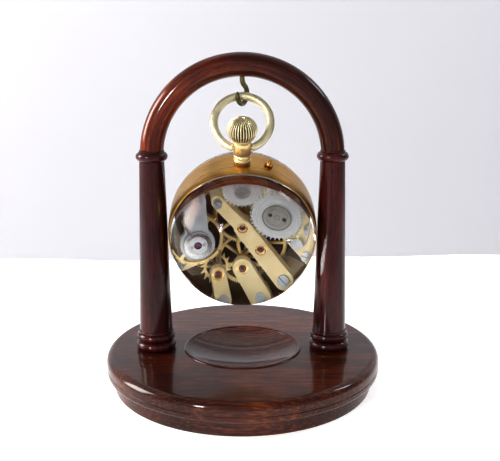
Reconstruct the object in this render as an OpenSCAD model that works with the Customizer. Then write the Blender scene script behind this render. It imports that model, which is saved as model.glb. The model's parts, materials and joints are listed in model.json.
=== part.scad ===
// Glass ball clock hanging by its bow from the hook of a turned wooden arch stand.
// Origin: centre of the stand's underside. The movement side of the clock faces -Y.

/* [Stand] */
// Distance from the ball's widest point to each column's axis
column_gap = 6.2; // [6.1:0.1:14]
// Diameter of the upper disc of the base
base_d = 113.6; // [100:0.1:150]
// Height of the base from the table to its flat top
base_h = 14.6; // [12:0.1:24]
// Thickness of the upper disc of the base
disc_h = 8.0; // [6:0.1:11]
// Radius of the upper disc's rounded rim
disc_round = 3.2; // [1:0.1:3.8]
// Amount by which the upper disc overhangs the plinth under it
overhang = 3; // [1:0.1:8]
// Diameter of the turned dish over its lip
dish_d = 49.6; // [30:0.1:54]
// Depth of the dish below the base's flat top
dish_depth = 4.2; // [2:0.1:6]
// Diameter of a column just above its foot rings
column_foot_d = 13.6; // [9:0.1:13.6]
// Diameter of a column just under its collar
column_head_d = 10.1; // [7:0.1:12]
// Height of the collars' middle above the table
collar_z = 95.6; // [95.2:0.1:130]
// Diameter over a collar ring
collar_d = 12.8; // [12.4:0.1:16]
// Height of a collar ring
collar_h = 3.8; // [2:0.1:4.4]
// Diameter over the lower foot ring of a column
foot_ring_d = 16.5; // [15:0.1:20]
// Height of one foot ring
foot_ring_h = 3.7; // [2:0.1:4.2]
// Diameter of the arch's round section
arch_d = 9.5; // [7:0.1:10]
// Diameter of the tenons that join columns, base and arch
tenon_d = 5.0; // [3:0.1:6]
// Length of each tenon
tenon_len = 8.0; // [5:0.1:9]

/* [Hook] */
// Diameter of the hook's wire
hook_wire_d = 2.0; // [1.2:0.05:2.1]
// Radius of the hook's bends at the wire's middle
hook_bend_r = 3.7; // [3.6:0.05:4.4]
// Angle between the hook's plane and the arch's plane
hook_yaw = 60; // [55:1:90]
// Angle by which the hook's tip rises past its level
hook_tip = 20; // [0:1:40]
// Height of the hook's eye centre below the arch's underside
hook_drop = 6.9; // [6.8:0.1:9]
// Depth of the hook's shank in the arch
hook_screw_len = 6.0; // [3:0.1:7]

/* [Bow] */
// Diameter of the bow ring at the wire's middle
bow_ring_d = 22.1; // [21.6:0.1:28]
// Diameter of the bow's wire
bow_wire_d = 3.3; // [2.4:0.05:3.4]
// Diameter of the pivots at the bow's ends
bow_pivot_d = 2.0; // [1.2:0.05:2.4]

/* [Case] */
// Diameter of the ball over its band and over the spheres its bezels follow
ball_d = 60; // [54:0.1:68]
// Width of the band between the two bezels
band_w = 7.2; // [7:0.1:7.6]
// Height of one bezel along the ball's axis
bezel_w = 5.15; // [4.8:0.05:5.3]
// Distance of each glass dome's centre from the band's middle
dome_offset = 3.2; // [3:0.1:3.4]
// Amount by which the glass domes are smaller than the band, on the radius
glass_step = 0.25; // [0.2:0.01:0.5]
// Thickness of the band's wall
band_wall = 2.6; // [2.2:0.05:2.7]
// Angle by which the clock leans forward as it hangs
case_lean = 17.5; // [0:0.5:25]
// Distance of the bow's pivots above the ball's surface
pivot_rise = 6.25; // [6:0.05:7]
// Diameter of the pendant tube
pendant_d = 7.1; // [6:0.1:8]
// Height of the pendant's top above the ball's surface
pendant_rise = 8.75; // [8.7:0.05:10]
// Diameter of the pendant's narrow foot
pendant_foot_d = 6.2; // [5:0.1:7]
// Diameter of the stem's bore through the pendant
stem_bore_d = 2.4; // [2:0.05:2.8]
// Angle of the setting pin round the band from the pendant
pin_angle = 20; // [17:1:26]
// Diameter of the setting pin's guard
guard_d = 3.4; // [2.6:0.1:4]

/* [Crown] */
// Diameter of the crown over its flutes
crown_d = 11.7; // [9:0.1:13]
// Height of the crown
crown_h = 9.9; // [8:0.1:11]
// Number of flutes round the crown
flutes = 32; // [16:1:36]
// Depth of a flute
flute_depth = 0.45; // [0.2:0.05:0.7]

/* [Movement] */
// Diameter of the main plate
plate_d = 43; // [42:0.1:43.4]
// Thickness of the main plate
plate_t = 1.8; // [1.6:0.05:2]
// Distance from the ball's middle plane back to the main plate's front
plate_back = 2.4; // [2.3:0.05:2.6]
// Height of the bars' underside above the main plate
bar_z = 3.6; // [3.5:0.05:3.7]
// Thickness of the bars and bridges
bar_t = 1.4; // [1.2:0.05:1.5]
// Width of the long bar that carries the centre and third wheels
bar_w = 4.8; // [4:0.1:5.2]
// Angle of the bars from the horizontal
bar_angle = -54.5; // [-56:0.5:-53]
// Teeth of the barrel
barrel_teeth = 80; // [80:1:84]
// Teeth of the centre wheel
centre_teeth = 80; // [78:1:82]
// Teeth of the third wheel
third_teeth = 75; // [74:1:76]
// Teeth of the fourth wheel
fourth_teeth = 80; // [78:1:82]
// Leaves of the centre, third and fourth pinions
pinion_leaves = 10; // [10:1:10]
// Leaves of the escape pinion
escape_leaves = 8; // [8:1:8]
// Distance from the barrel's axis to the centre wheel's
barrel_reach = 11.0; // [10.9:0.05:11.1]
// Distance from the centre wheel's axis to the third wheel's
third_reach = 8.1; // [8:0.05:8.2]
// Distance from the third wheel's axis to the fourth wheel's
fourth_reach = 7.0; // [6.95:0.05:7.05]
// Distance from the fourth wheel's axis to the escape wheel's
escape_reach = 6.2; // [6.1:0.05:6.3]
// Diameter of the balance wheel over its rim
balance_d = 15; // [13:0.1:15.2]
// Number of turns of the hairspring
hairspring_turns = 9; // [6:1:11]
// Teeth of the ratchet wheel
ratchet_teeth = 40; // [40:1:40]
// Teeth of the crown wheel
crown_wheel_teeth = 31; // [31:1:31]

/* [Dial] */
// Diameter of the dial
dial_d = 44.6; // [43:0.1:45]
// Length of the minute hand from its axis
minute_hand_len = 17.6; // [14:0.1:19]
// Length of the hour hand from its axis
hour_hand_len = 12.2; // [9:0.1:13]
// Length of the seconds hand from its axis
seconds_hand_len = 4.2; // [3:0.1:4.6]

/* [Hidden] */
$fn = 96;

// Clearances
fit = 0.02;        // on the radius, a piece that stays in its hole
run = 0.03;        // on the radius, a shaft that turns in its hole
seat = 0.05;       // between two faces of different moving pieces
eps = 0.01;        // overshoot of a cut past a face

// Colours
mahogany = [0.30, 0.09, 0.05];
gilt = [0.86, 0.70, 0.36];
pale_brass = [0.80, 0.74, 0.55];
wheel_brass = [0.83, 0.66, 0.30];
steel = [0.66, 0.68, 0.70];
blued = [0.20, 0.22, 0.34];
ruby = [0.70, 0.12, 0.22];
glass = [0.80, 0.88, 0.90, 0.35];
enamel = [0.95, 0.94, 0.90];

// Stand, derived
ball_r = ball_d/2;
column_x = ball_r + column_gap;
plinth_r = base_d/2 - overhang;
plinth_h = base_h - disc_h;
foot_fillet_h = 0.8;
column_foot_z = base_h + 2*foot_ring_h + foot_fillet_h;
collar_low = collar_z - collar_h/2;
collar_high = collar_z + collar_h/2;
arch_low_z = collar_z + column_x - arch_d/2;
hook_eye_z = arch_low_z - hook_drop;
hook_shank_d = hook_wire_d - 0.02;

// Hanging, derived: the bow leans by the angle that brings the weight's centre under the hook
bow_r = bow_ring_d/2;
pivot_h = ball_r + pivot_rise;
bow_end_x = pendant_d/2 + 0.15;
bow_chord = bow_r + sqrt(bow_r*bow_r - bow_end_x*bow_end_x);
bow_rest = 0.75;
bow_top_z = hook_eye_z - bow_rest;
ball_y = 0.3;
bow_lean = asin((pivot_h*sin(case_lean) - ball_y)/bow_chord);
ball_z = bow_top_z - bow_chord*cos(bow_lean) - pivot_h*cos(case_lean);

// Movement levels above the main plate's front
bar_top = bar_z + bar_t;
ratchet_z = bar_top + 0.1;
ratchet_t = 0.5;
top_z = ratchet_z + ratchet_t + 0.3;
plate_r = plate_d/2;
pivot_r = 0.25;
jewel_r = 0.9;
barrel_low = -1.2;
barrel_high = 1.7;
barrel_rim_z = [1.05, 1.55];
centre_wheel_z = [2.0, 2.25];
third_wheel_z = [2.8, 3.05];
fourth_wheel_z = [1.1, 1.35];
escape_wheel_z = [1.8, 2.05];
fork_z = [1.75, 2.1];
balance_z = [3.1, 3.65];
arbor_core_r = 2.6;
arbor_square_r = 1;
drum_wall = 0.45;

// Levels behind the main plate
motion_room = 1.5;
dial_t = 0.6;
hand_room = 1.5;
dial_z = [-plate_t - motion_room - dial_t, -plate_t - motion_room];
seconds_z = [dial_z[0] - 0.2, dial_z[0] - 0.1];
hour_z = [dial_z[0] - 0.55, dial_z[0] - 0.35];
minute_z = [dial_z[0] - 1.05, dial_z[0] - 0.85];
hour_turn = 59;
minute_turn = -51;

// Case, derived: f is the distance forward of the ball's middle plane
glass_r = ball_r - glass_step;
bezel_f = band_w/2 + seat;
rim_f = bezel_f + bezel_w;
lens_edge_r = sqrt(glass_r*glass_r - pow(rim_f - dome_offset, 2)) - 0.09;
lens_seat_f = rim_f - 0.8;
band_bore_r = ball_r - band_wall;
snap_r = band_bore_r + 1.2;
snap_w = 1;
front_flat_f = top_z - plate_back + 0.2;
back_flat_f = dial_z[0] - hand_room - plate_back;
ring_back_f = dial_z[1] - plate_back + seat;
flange_h = ball_r + 1;
pendant_top = ball_r + pendant_rise;

// Plan of the movement, seen from the front
function polar(r, a) = [r*cos(a), r*sin(a)];
function heading(p, q) = atan2(q[1] - p[1], q[0] - p[0]);
function reach(p, q) = norm([q[0] - p[0], q[1] - p[1]]);
centre_at = [0, 0];
barrel_at = polar(barrel_reach, 25.2);
third_at = polar(third_reach, bar_angle);
fourth_at = [0, third_at[1] - sqrt(fourth_reach*fourth_reach - third_at[0]*third_at[0])];
escape_at = fourth_at + polar(escape_reach, 194.5);
balance_at = [-11.9, -4.85];
pallet_reach = 4.2;
pallet_at = escape_at + polar(pallet_reach, heading(escape_at, balance_at));
ratchet_m = 0.38;
ratchet_r = ratchet_m*ratchet_teeth/2;
crown_wheel_r = ratchet_m*crown_wheel_teeth/2;
crown_wheel_at = [0, barrel_at[1] + sqrt(pow(ratchet_r + crown_wheel_r, 2) - pow(barrel_at[0], 2))];
motion_reach = 4.32;
motion_at = polar(motion_reach, 150);

// Gear sizes: module from the distance of the axes and the two tooth counts
barrel_m = 2*barrel_reach/(barrel_teeth + pinion_leaves);
drum_r = barrel_m*(barrel_teeth/2 - 1.3);
centre_m = 2*third_reach/(centre_teeth + pinion_leaves);
third_m = 2*fourth_reach/(third_teeth + pinion_leaves);
fourth_m = 2*escape_reach/(fourth_teeth + escape_leaves);
cannon_teeth = 12;
minute_teeth = 36;
minute_leaves = 10;
hour_teeth = 40;
cannon_m = 2*motion_reach/(cannon_teeth + minute_teeth);
hour_m = 2*motion_reach/(minute_leaves + hour_teeth);

// Case screws, setting pin and winding stem
screw_angles = [40, 140, 270];
screw_reach = plate_r + 1.1;
case_screw_r = 0.5;
case_head_r = 1.3;
pin_d = 1.3;
guard_shank_d = guard_d - 1;
pendant_shank_d = pendant_foot_d - 1.2;
stem_r = stem_bore_d/2 - run;
thin_stem_r = 0.55;
pinion_low = 17.9;
pinion_len = 1.9;

// Feet of the bars, cocks and bridge, and the screws that hold them
bar_from = polar(10.9, 131);
bar_to = polar(17.8, -56);
fourth_foot = [4.1, -18.7];
escape_foot = [-4.3, -19.2];
pallet_foot = [-14.2, -12.6];
balance_foot = [-13.8, 7.6];
bridge_feet = [polar(18.6, 66), polar(18.8, -27)];
steady_foot = polar(18.4, 104);
click_at = [14.9, -4.3];
spring_foot = [18.3, -0.4];
spring_elbow = [17.6, -4.2];
spring_tip = [16.55, -5.1];
cap_r = 2.6;
cock_r = 4.7;
ratchet_cap_r = 4.5;
roller_pin_r = 1.15;
screw_r = 0.55;
screw_low = -1.4;
bridge_low = 3.7;

// Screws through to the plate: place, radius of the head
plate_screws = [
    [bar_from, 1.3], [bar_to, 1.5], [fourth_foot, 1.3], [escape_foot, 1.2],
    [balance_foot, 1.7], [bridge_feet[0], 1.4], [bridge_feet[1], 1.4]
];

// A tooth of the second wheel falls in a gap of the first, whose tooth stands at angle p1
function mesh_phase(at1, at2, p1, n1, n2) =
    heading(at1, at2) + 180 + (heading(at1, at2) - p1)*n1/n2 + 180/n2;

// Points of a ring of straight-sided teeth: add and ded are modules above and below the pitch circle
function teeth_points(n, m, phase, add, ded, tip, root) = [
    for (i = [0:n-1], k = [[-root, -ded], [-tip, add], [tip, add], [root, -ded]])
        polar(m*(n/2 + k[1]), phase + 360*(i + k[0])/n)
];

module gear_plan(n, m, phase = 0, add = 0.75, ded = 1.05, tip = 0.09, root = 0.23) {
    polygon(teeth_points(n, m, phase, add, ded, tip, root));
}

// Wheel with a thin rim, hub and straight arms
module crossed_plan(n, m, phase, rim, hub_r, arms, arm_w) {
    rim_r = m*n/2 - 1.05*m - rim;
    difference() {
        gear_plan(n, m, phase);
        difference() {
            circle(rim_r);
            circle(hub_r);
            for (i = [0:arms-1])
                rotate(i*360/arms + phase) translate([0, -arm_w/2]) square([rim_r + 1, arm_w]);
        }
    }
}

// Frames: the bow from its top, the case from the ball's centre, the works from the main plate's front
module in_bow() {
    translate([0, 0, bow_top_z]) rotate([-bow_lean, 0, 0]) children();
}

module in_case() {
    translate([0, ball_y, ball_z]) rotate([case_lean, 0, 0]) children();
}

module turned() {
    in_case() rotate([90, 0, 0]) rotate_extrude($fn = 180) children();
}

module in_works() {
    in_case() translate([0, plate_back, 0]) rotate([90, 0, 0]) children();
}

module slab(z) {
    translate([0, 0, z[0]]) linear_extrude(z[1] - z[0]) children();
}

module post(at, r, z) {
    translate([at[0], at[1], z[0]]) cylinder(r = r, h = z[1] - z[0], $fn = 48);
}

// Stand
module base() {
    dish_r = dish_d/2;
    bowl_r = (pow(dish_r - 2, 2) + dish_depth*dish_depth)/(2*dish_depth);
    color(mahogany) difference() {
        rotate_extrude($fn = 180) {
            square([plinth_r - 1, plinth_h + 1]);
            translate([0, 1]) square([plinth_r, plinth_h - 1.8]);
            translate([plinth_r - 1, 1]) circle(1);
            translate([0, plinth_h + 0.6]) square([base_d/2 - 1.2, disc_h - 1.8]);
            translate([0, plinth_h + 1.2]) square([base_d/2, disc_h - disc_round - 1.2]);
            translate([base_d/2 - 1.2, plinth_h + 1.2]) circle(1.2);
            translate([base_d/2 - disc_round, base_h - disc_round]) circle(disc_round);
            translate([0, base_h - 2]) square([base_d/2 - disc_round, 2]);
            translate([dish_r - 1, base_h - 0.5]) circle(1);
        }
        translate([0, 0, base_h + bowl_r - dish_depth]) sphere(bowl_r, $fn = 180);
        rotate_extrude($fn = 180) translate([base_d/2, plinth_h + 2.7]) circle(0.2, $fn = 24);
        for (s = [-1, 1])
            translate([s*column_x, 0, base_h - tenon_len - 0.3])
                cylinder(d = tenon_d + 2*fit, h = tenon_len + 1);
    }
}

module column() {
    collar_r = collar_h/2;
    color(mahogany) difference() {
        rotate_extrude() {
            translate([0, base_h - tenon_len]) square([tenon_d/2, tenon_len + 1]);
            translate([0, base_h]) square([foot_ring_d/2 - foot_ring_h/2, foot_ring_h]);
            translate([foot_ring_d/2 - foot_ring_h/2, base_h + foot_ring_h/2]) circle(foot_ring_h/2);
            translate([0, base_h + foot_ring_h])
                square([foot_ring_d/2 - foot_ring_h/2 - 0.35, foot_ring_h]);
            translate([foot_ring_d/2 - foot_ring_h/2 - 0.35, base_h + 1.5*foot_ring_h])
                circle(foot_ring_h/2);
            translate([0, base_h + 2*foot_ring_h - 0.2])
                square([column_foot_d/2 + 0.45, foot_fillet_h + 0.2]);
            polygon([
                [0, column_foot_z - 1], [column_foot_d/2, column_foot_z - 1],
                [column_foot_d/2, column_foot_z], [column_head_d/2, collar_low],
                [column_head_d/2, collar_high + 0.6], [0, collar_high + 0.6]
            ]);
            translate([0, collar_low]) square([collar_d/2 - collar_r, collar_h]);
            translate([collar_d/2 - collar_r, collar_z]) circle(collar_r);
            translate([0, collar_high - 0.3]) square([arch_d/2 + 0.35, 0.9]);
        }
        translate([0, 0, collar_high + 0.6 - tenon_len - 0.3])
            cylinder(d = tenon_d + 2*fit, h = tenon_len + 1);
    }
}

module column_left() {
    translate([-column_x, 0, 0]) column();
}

module column_right() {
    translate([column_x, 0, 0]) column();
}

module arch() {
    arch_seat = collar_high + 0.6;
    color(mahogany) difference() {
        union() {
            intersection() {
                translate([0, 0, collar_z]) rotate([90, 0, 0])
                    rotate_extrude($fn = 180) translate([column_x, 0]) circle(d = arch_d);
                translate([-2*column_x, -arch_d, arch_seat])
                    cube([4*column_x, 2*arch_d, 2*column_x]);
            }
            for (s = [-1, 1])
                translate([s*column_x, 0, arch_seat - tenon_len])
                    cylinder(d = tenon_d, h = tenon_len + 2);
        }
        translate([0, 0, arch_low_z - 2]) cylinder(d = hook_wire_d + 2*fit, h = hook_screw_len + 2.3);
    }
}

// Screw hook: a straight shank, a bend back and one round bend that holds the bow
module hook_bend(at, from, to, wire_d) {
    translate(at) rotate([0, 0, from]) rotate_extrude(angle = to - from, $fn = 64)
        translate([hook_bend_r, 0]) circle(d = wire_d, $fn = 32);
}

module hook() {
    neck = 60;
    neck_at = [2*hook_bend_r*cos(neck), 2*hook_bend_r*sin(neck)];
    color(pale_brass) translate([0, 0, hook_eye_z]) rotate([0, 0, hook_yaw]) rotate([90, 0, 0]) {
        hook_bend([0, 0], -180 - hook_tip, neck, hook_wire_d);
        hook_bend(neck_at, 180, 180 + neck, hook_shank_d);
        translate([neck_at[0] - hook_bend_r, neck_at[1]]) rotate([-90, 0, 0])
            cylinder(d = hook_shank_d, h = hook_drop - neck_at[1] + hook_screw_len, $fn = 32);
    }
}

module bow() {
    color(pale_brass) in_bow() {
        difference() {
            translate([0, 0, -bow_r]) rotate([90, 0, 0])
                rotate_extrude($fn = 120) translate([bow_r, 0]) circle(d = bow_wire_d, $fn = 48);
            translate([-bow_end_x, -bow_wire_d, -bow_r - bow_r - bow_wire_d])
                cube([2*bow_end_x, 2*bow_wire_d, bow_r]);
        }
        for (s = [-1, 1])
            translate([s*(bow_end_x + 0.4), 0, -bow_chord]) rotate([0, -s*90, 0])
                cylinder(d = bow_pivot_d, h = bow_end_x + 0.4 - stem_bore_d/2 - 0.35, $fn = 48);
    }
}

// Case
module case_band() {
    color(gilt) difference() {
        turned() difference() {
            union() {
                translate([0, -band_w/2]) square([ball_r, band_w]);
                translate([0, -band_w/2 - snap_w]) square([snap_r, band_w + 2*snap_w]);
            }
            translate([0, -band_w]) square([band_bore_r, 2*band_w]);
        }
        in_case() {
            cylinder(d = pendant_shank_d + 2*fit, h = ball_d);
            rotate([0, pin_angle, 0]) cylinder(d = guard_shank_d + 2*fit, h = ball_d);
        }
    }
}

// Bezel: it snaps over the band's thin lip and takes the glass in a seat behind its rim
module bezel() {
    difference() {
        intersection() {
            translate([0, dome_offset]) circle(ball_r);
            translate([0, bezel_f]) square([ball_r + 1, bezel_w]);
        }
        square([band_bore_r, ball_r]);
        square([snap_r + fit, band_w/2 + snap_w + seat]);
        translate([0, lens_seat_f]) square([lens_edge_r + seat, ball_r]);
    }
}

module front_bezel() {
    color(gilt) turned() bezel();
}

module back_bezel() {
    color(gilt) turned() mirror([0, 1]) bezel();
}

// Solid glass dome: its edge sits in the bezel, its flat lies just above the works or the hands
module lens(flat_f) {
    intersection() {
        translate([0, dome_offset]) circle(glass_r);
        union() {
            translate([0, flat_f]) square([band_bore_r - 0.2, ball_d]);
            translate([0, lens_seat_f + seat]) square([lens_edge_r, ball_d]);
        }
    }
}

module front_lens() {
    color(glass) turned() lens(front_flat_f);
}

module back_lens() {
    color(glass) turned() mirror([0, 1]) lens(-back_flat_f);
}

module casing_ring() {
    color(gilt) difference() {
        turned() difference() {
            translate([plate_r + seat, ring_back_f])
                square([band_bore_r - plate_r - 2*seat, front_flat_f - 0.5 - ring_back_f]);
            translate([0, -plate_back + 0.6]) square([plate_r + 1.5, ball_r]);
        }
        in_case() cylinder(r = stem_bore_d/2 + 0.1, h = ball_d);
        in_case() rotate([0, pin_angle, 0]) cylinder(d = guard_shank_d + 2*fit, h = ball_d);
        in_works() for (a = screw_angles) {
            post(polar(screw_reach, a), case_screw_r + fit, [-plate_t, bar_top]);
            post(polar(screw_reach, a), case_head_r + seat, [0.6, top_z]);
        }
    }
}

module case_screws() {
    color(blued) in_works() for (a = screw_angles) {
        at = polar(screw_reach, a);
        difference() {
            post(at, case_head_r, [0.6 + seat, 1.25]);
            translate([at[0], at[1], 1.0]) rotate(a) translate([-2, -0.18, 0]) cube([4, 0.36, 1]);
        }
        post(at, case_screw_r, [-1.2, 0.8]);
    }
}

// Pendant: a shank through the band, a foot that sits on the ball, a bead and the tube
module pendant() {
    tube_low = flange_h + 2.8;
    color(gilt) in_case() difference() {
        union() {
            difference() {
                rotate_extrude() {
                    translate([0, ball_r - 1]) square([pendant_foot_d/2, flange_h - ball_r + 1]);
                    translate([0, flange_h]) square([pendant_foot_d/2 + 0.45, 0.5]);
                    translate([0, flange_h]) square([pendant_foot_d/2 - 0.3, tube_low - flange_h]);
                    translate([pendant_foot_d/2 - 0.6, flange_h + 1.7]) circle(0.95);
                    translate([0, tube_low]) square([pendant_d/2, pendant_top - tube_low - 0.4]);
                    translate([0, pendant_top - 0.8]) square([pendant_d/2 - 0.4, 0.8]);
                    translate([pendant_d/2 - 0.4, pendant_top - 0.4]) circle(0.4);
                }
                rotate([90, 0, 0]) cylinder(r = ball_r + eps, h = ball_d, center = true, $fn = 180);
            }
            translate([0, 0, band_bore_r + 0.2])
                cylinder(d = pendant_shank_d, h = band_wall + 0.6);
        }
        translate([0, 0, band_bore_r]) cylinder(d = stem_bore_d, h = ball_r);
        translate([-ball_r, 0, pivot_h]) rotate([0, 90, 0])
            cylinder(d = bow_pivot_d + 2*run, h = ball_d, $fn = 48);
    }
}

module pin_guard() {
    color(gilt) in_case() rotate([0, pin_angle, 0]) difference() {
        union() {
            difference() {
                translate([0, 0, ball_r - 0.6]) cylinder(d = guard_d, h = 1.3);
                rotate([90, 0, 0]) cylinder(r = ball_r + eps, h = ball_d, center = true, $fn = 180);
            }
            difference() {
                translate([0, 0, ball_r + 0.7]) sphere(d = guard_d);
                translate([-guard_d, -guard_d, ball_r - guard_d])
                    cube([2*guard_d, 2*guard_d, guard_d + 0.7]);
                translate([-guard_d, -guard_d, ball_r + 1.5]) cube(2*guard_d);
            }
            translate([0, 0, band_bore_r + 0.2]) cylinder(d = guard_shank_d, h = band_wall + 0.2);
        }
        translate([0, 0, band_bore_r - 1]) cylinder(d = pin_d + 2*run, h = ball_r);
    }
}

module push_pin() {
    color(gilt) in_case() rotate([0, pin_angle, 0]) {
        translate([0, 0, plate_r - 0.6]) cylinder(d = pin_d, h = ball_r - plate_r + 2.6);
        translate([0, 0, ball_r + 2.0]) sphere(d = pin_d, $fn = 48);
    }
}

// Crown: a round onion shape whose flutes run out towards its ends
module crown() {
    round_r = crown_h/2;
    core_r = crown_d/2 - round_r;
    flute_r = round_r*1.34;
    color(pale_brass) in_case() translate([0, 0, pendant_top + seat]) difference() {
        rotate_extrude() {
            intersection() {
                translate([core_r, round_r]) circle(round_r);
                square([crown_d, crown_h]);
            }
            square([core_r, crown_h]);
            square([crown_d*0.3, 1]);
        }
        translate([0, 0, crown_h + 0.75]) sphere(1.5);
        for (i = [0:flutes-1])
            rotate([0, 0, 360*i/flutes]) translate([crown_d/2 - flute_r, 0, round_r]) rotate([90, 0, 0])
                rotate([0, 0, -44]) rotate_extrude(angle = 88, $fn = 64) translate([flute_r, 0])
                    circle(flute_depth, $fn = 24);
        translate([0, 0, -eps]) cylinder(r = stem_r, h = 3);
    }
}

module winding_stem() {
    color(steel) in_case() {
        translate([0, 0, band_bore_r - 0.5])
            cylinder(r = stem_r, h = pendant_rise + band_wall + seat + 3.4);
        translate([0, 0, pinion_low - 2]) cylinder(r = thin_stem_r, h = band_bore_r - pinion_low + 2);
    }
}

module winding_pinion() {
    color(steel) in_case() translate([0, 0, pinion_low]) difference() {
        linear_extrude(pinion_len) gear_plan(16, 0.28, 0);
        translate([0, 0, -1]) cylinder(r = thin_stem_r + fit, h = pinion_len + 2, $fn = 48);
    }
}

// Movement: a bar with round ends, drawn in plan
module capsule(p, q, w) {
    translate(p) circle(d = w, $fn = 64);
    translate(q) circle(d = w, $fn = 64);
    translate(p) rotate(heading(p, q)) translate([0, -w/2]) square([reach(p, q), w]);
}

// Holes of the screws that go into the plate, and of those that stay in the bridge
module screw_holes(z) {
    for (s = plate_screws) post(s[0], screw_r + fit, z);
}

module bridge_holes() {
    for (at = [click_at, crown_wheel_at, spring_foot])
        post(at, screw_r + fit, [bridge_low - 0.2, bar_top + 1]);
}

module main_plate() {
    color(gilt) in_works() difference() {
        union() {
            post(centre_at, plate_r, [-plate_t, 0], $fn = 180);
            post(motion_at, 0.4, [-plate_t - 1.4, -plate_t + 0.1]);
        }
        post(barrel_at, barrel_m*barrel_teeth/2 + 0.45, [barrel_low - 0.1, eps]);
        post(barrel_at, 0.6 + run, [-plate_t - eps, 0]);
        post(centre_at, 0.5 + run, [-plate_t - eps, eps]);
        for (at = [third_at, escape_at, pallet_at, balance_at])
            post(at, pivot_r + run, [-1, eps]);
        post(fourth_at, 0.3 + run, [-plate_t - eps, eps]);
        screw_holes([screw_low - 0.1, eps]);
        post(pallet_foot, 0.45 + fit, [-1.2, eps]);
        translate([-3, pinion_low - 0.5, -0.45]) cube([6, plate_r, 1]);
        for (a = screw_angles) post(polar(screw_reach, a), case_head_r + seat, [-plate_t - eps, eps]);
        post(polar(plate_r - 0.6, 90 - pin_angle), 1, [0.4, 1]);
    }
}

module barrel_bridge() {
    color(gilt) in_works() difference() {
        union() {
            slab([bar_z, bar_top]) difference() {
                intersection() {
                    circle(plate_r - 0.3, $fn = 180);
                    union() {
                        rotate(bar_angle) translate([-plate_r, 7]) square([plate_d, plate_r]);
                        translate(crown_wheel_at) circle(6.6);
                    }
                }
                rotate(bar_angle) translate([-plate_r, -plate_r])
                    square([plate_d, plate_r + bar_w/2 + 0.5]);
                translate([-3, pinion_low - 0.4]) square([6, plate_r]);
            }
            for (at = bridge_feet) post(at, 1.9, [0, bar_z + 0.1]);
            post(steady_foot, 1.1, [0, bar_z + 0.1]);
        }
        post(barrel_at, arbor_square_r + run, [bar_z - 1, bar_top + 1]);
        screw_holes([-1, bar_top + 1]);
        bridge_holes();
    }
}

module train_bar() {
    color(gilt) in_works() difference() {
        union() {
            slab([bar_z, bar_top]) {
                capsule(bar_from, centre_at, bar_w - 1.2);
                capsule(centre_at, bar_to, bar_w);
            }
            post(bar_from, bar_w/2 - 0.6, [0, bar_z + 0.1]);
            post(bar_to, 2, [0, bar_z + 0.1]);
        }
        for (at = [centre_at, third_at]) post(at, jewel_r + eps, [bar_z - 1, bar_top + 1]);
        screw_holes([-1, bar_top + 1]);
    }
}

// Finger cock: a bar from over the pivot to a foot near the plate's rim
module finger(at, foot, w, foot_r, z) {
    difference() {
        union() {
            slab(z) intersection() {
                capsule(at, foot, w);
                circle(plate_r - 0.3, $fn = 180);
            }
            post(foot, foot_r, [0, z[0] + 0.1]);
        }
        post(at, jewel_r + eps, [z[0] - 1, z[1] + 1]);
    }
}

module fourth_cock() {
    color(gilt) in_works() difference() {
        finger(fourth_at, fourth_foot, 5, 1.4, [bar_z, bar_top]);
        screw_holes([-1, bar_top + 1]);
    }
}

module escape_cock() {
    color(gilt) in_works() difference() {
        finger(escape_at, escape_foot, 3.7, 1.4, [bar_z, bar_top]);
        screw_holes([-1, bar_top + 1]);
    }
}

module pallet_cock() {
    color(gilt) in_works() difference() {
        finger(pallet_at, pallet_foot, 2.4, 1.1, [2.35, 2.95]);
        post(pallet_foot, 0.45 + fit, [-1, 3]);
        post(pallet_foot, 0.8 + fit, [2.65, 3]);
    }
}

module balance_cock() {
    cock_z = [4.45, bar_top];
    color(gilt) in_works() difference() {
        union() {
            slab(cock_z) {
                capsule(balance_at, balance_foot, 6.6);
                translate(balance_at) circle(cock_r);
                translate(balance_foot) circle(3.4);
            }
            post(balance_foot, 3.4, [0, cock_z[0] + 0.1]);
        }
        post(balance_at, pivot_r + run, [cock_z[0] - 1, bar_top + 1]);
        for (s = [-1, 1]) post(balance_at + [s*1.6, 0.5*s], 0.3 + fit, [cock_z[0] - 1, bar_top + 1]);
        screw_holes([-1, bar_top + 1]);
    }
}

module screw(at, z, head_r, head_t, shank_r, low) {
    difference() {
        post(at, head_r, [z + eps, z + head_t]);
        translate([at[0], at[1], z + head_t*0.5])
            rotate(at[0]*31) translate([-head_r - 1, -0.15, 0]) cube([2*head_r + 2, 0.3, 1]);
    }
    post(at, shank_r, [low, z + head_t*0.4]);
}

// All slotted screws, with the fixed core that the crown wheel turns on
module bridge_screws() {
    color(blued) in_works() {
        for (s = plate_screws) screw(s[0], bar_top, s[1], 0.5, screw_r, screw_low);
        screw(spring_foot, ratchet_z + ratchet_t, 0.8, 0.3, screw_r, bridge_low);
        screw(click_at, ratchet_z + ratchet_t + seat, 1.8, 0.3, screw_r, bridge_low);
        screw(pallet_foot, 2.65, 0.8, 0.28, 0.45, -1.1);
        post(crown_wheel_at, 1.6, [bar_top + eps, ratchet_z + ratchet_t + seat]);
        screw(crown_wheel_at, ratchet_z + ratchet_t + seat, 2.4, 0.3, screw_r, bridge_low);
        for (s = [-1, 1])
            screw(balance_at + [s*1.6, 0.5*s], ratchet_z + 0.4, 0.45, 0.2, 0.3, 4.5);
    }
}

module jewels() {
    color(ruby) in_works() {
        for (at = [third_at, fourth_at, escape_at]) jewel(at, pivot_r, [bar_z, bar_top - 0.15]);
        jewel(centre_at, 0.4, [bar_z, bar_top - 0.15]);
        jewel(pallet_at, pivot_r, [2.35, 2.9]);
    }
}

module jewel(at, r, z) {
    difference() {
        post(at, jewel_r, z);
        post(at, r + run, [z[0] - 1, z[1] + 1]);
        translate([at[0], at[1], z[1] + 0.75]) sphere(0.95, $fn = 32);
    }
}

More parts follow.
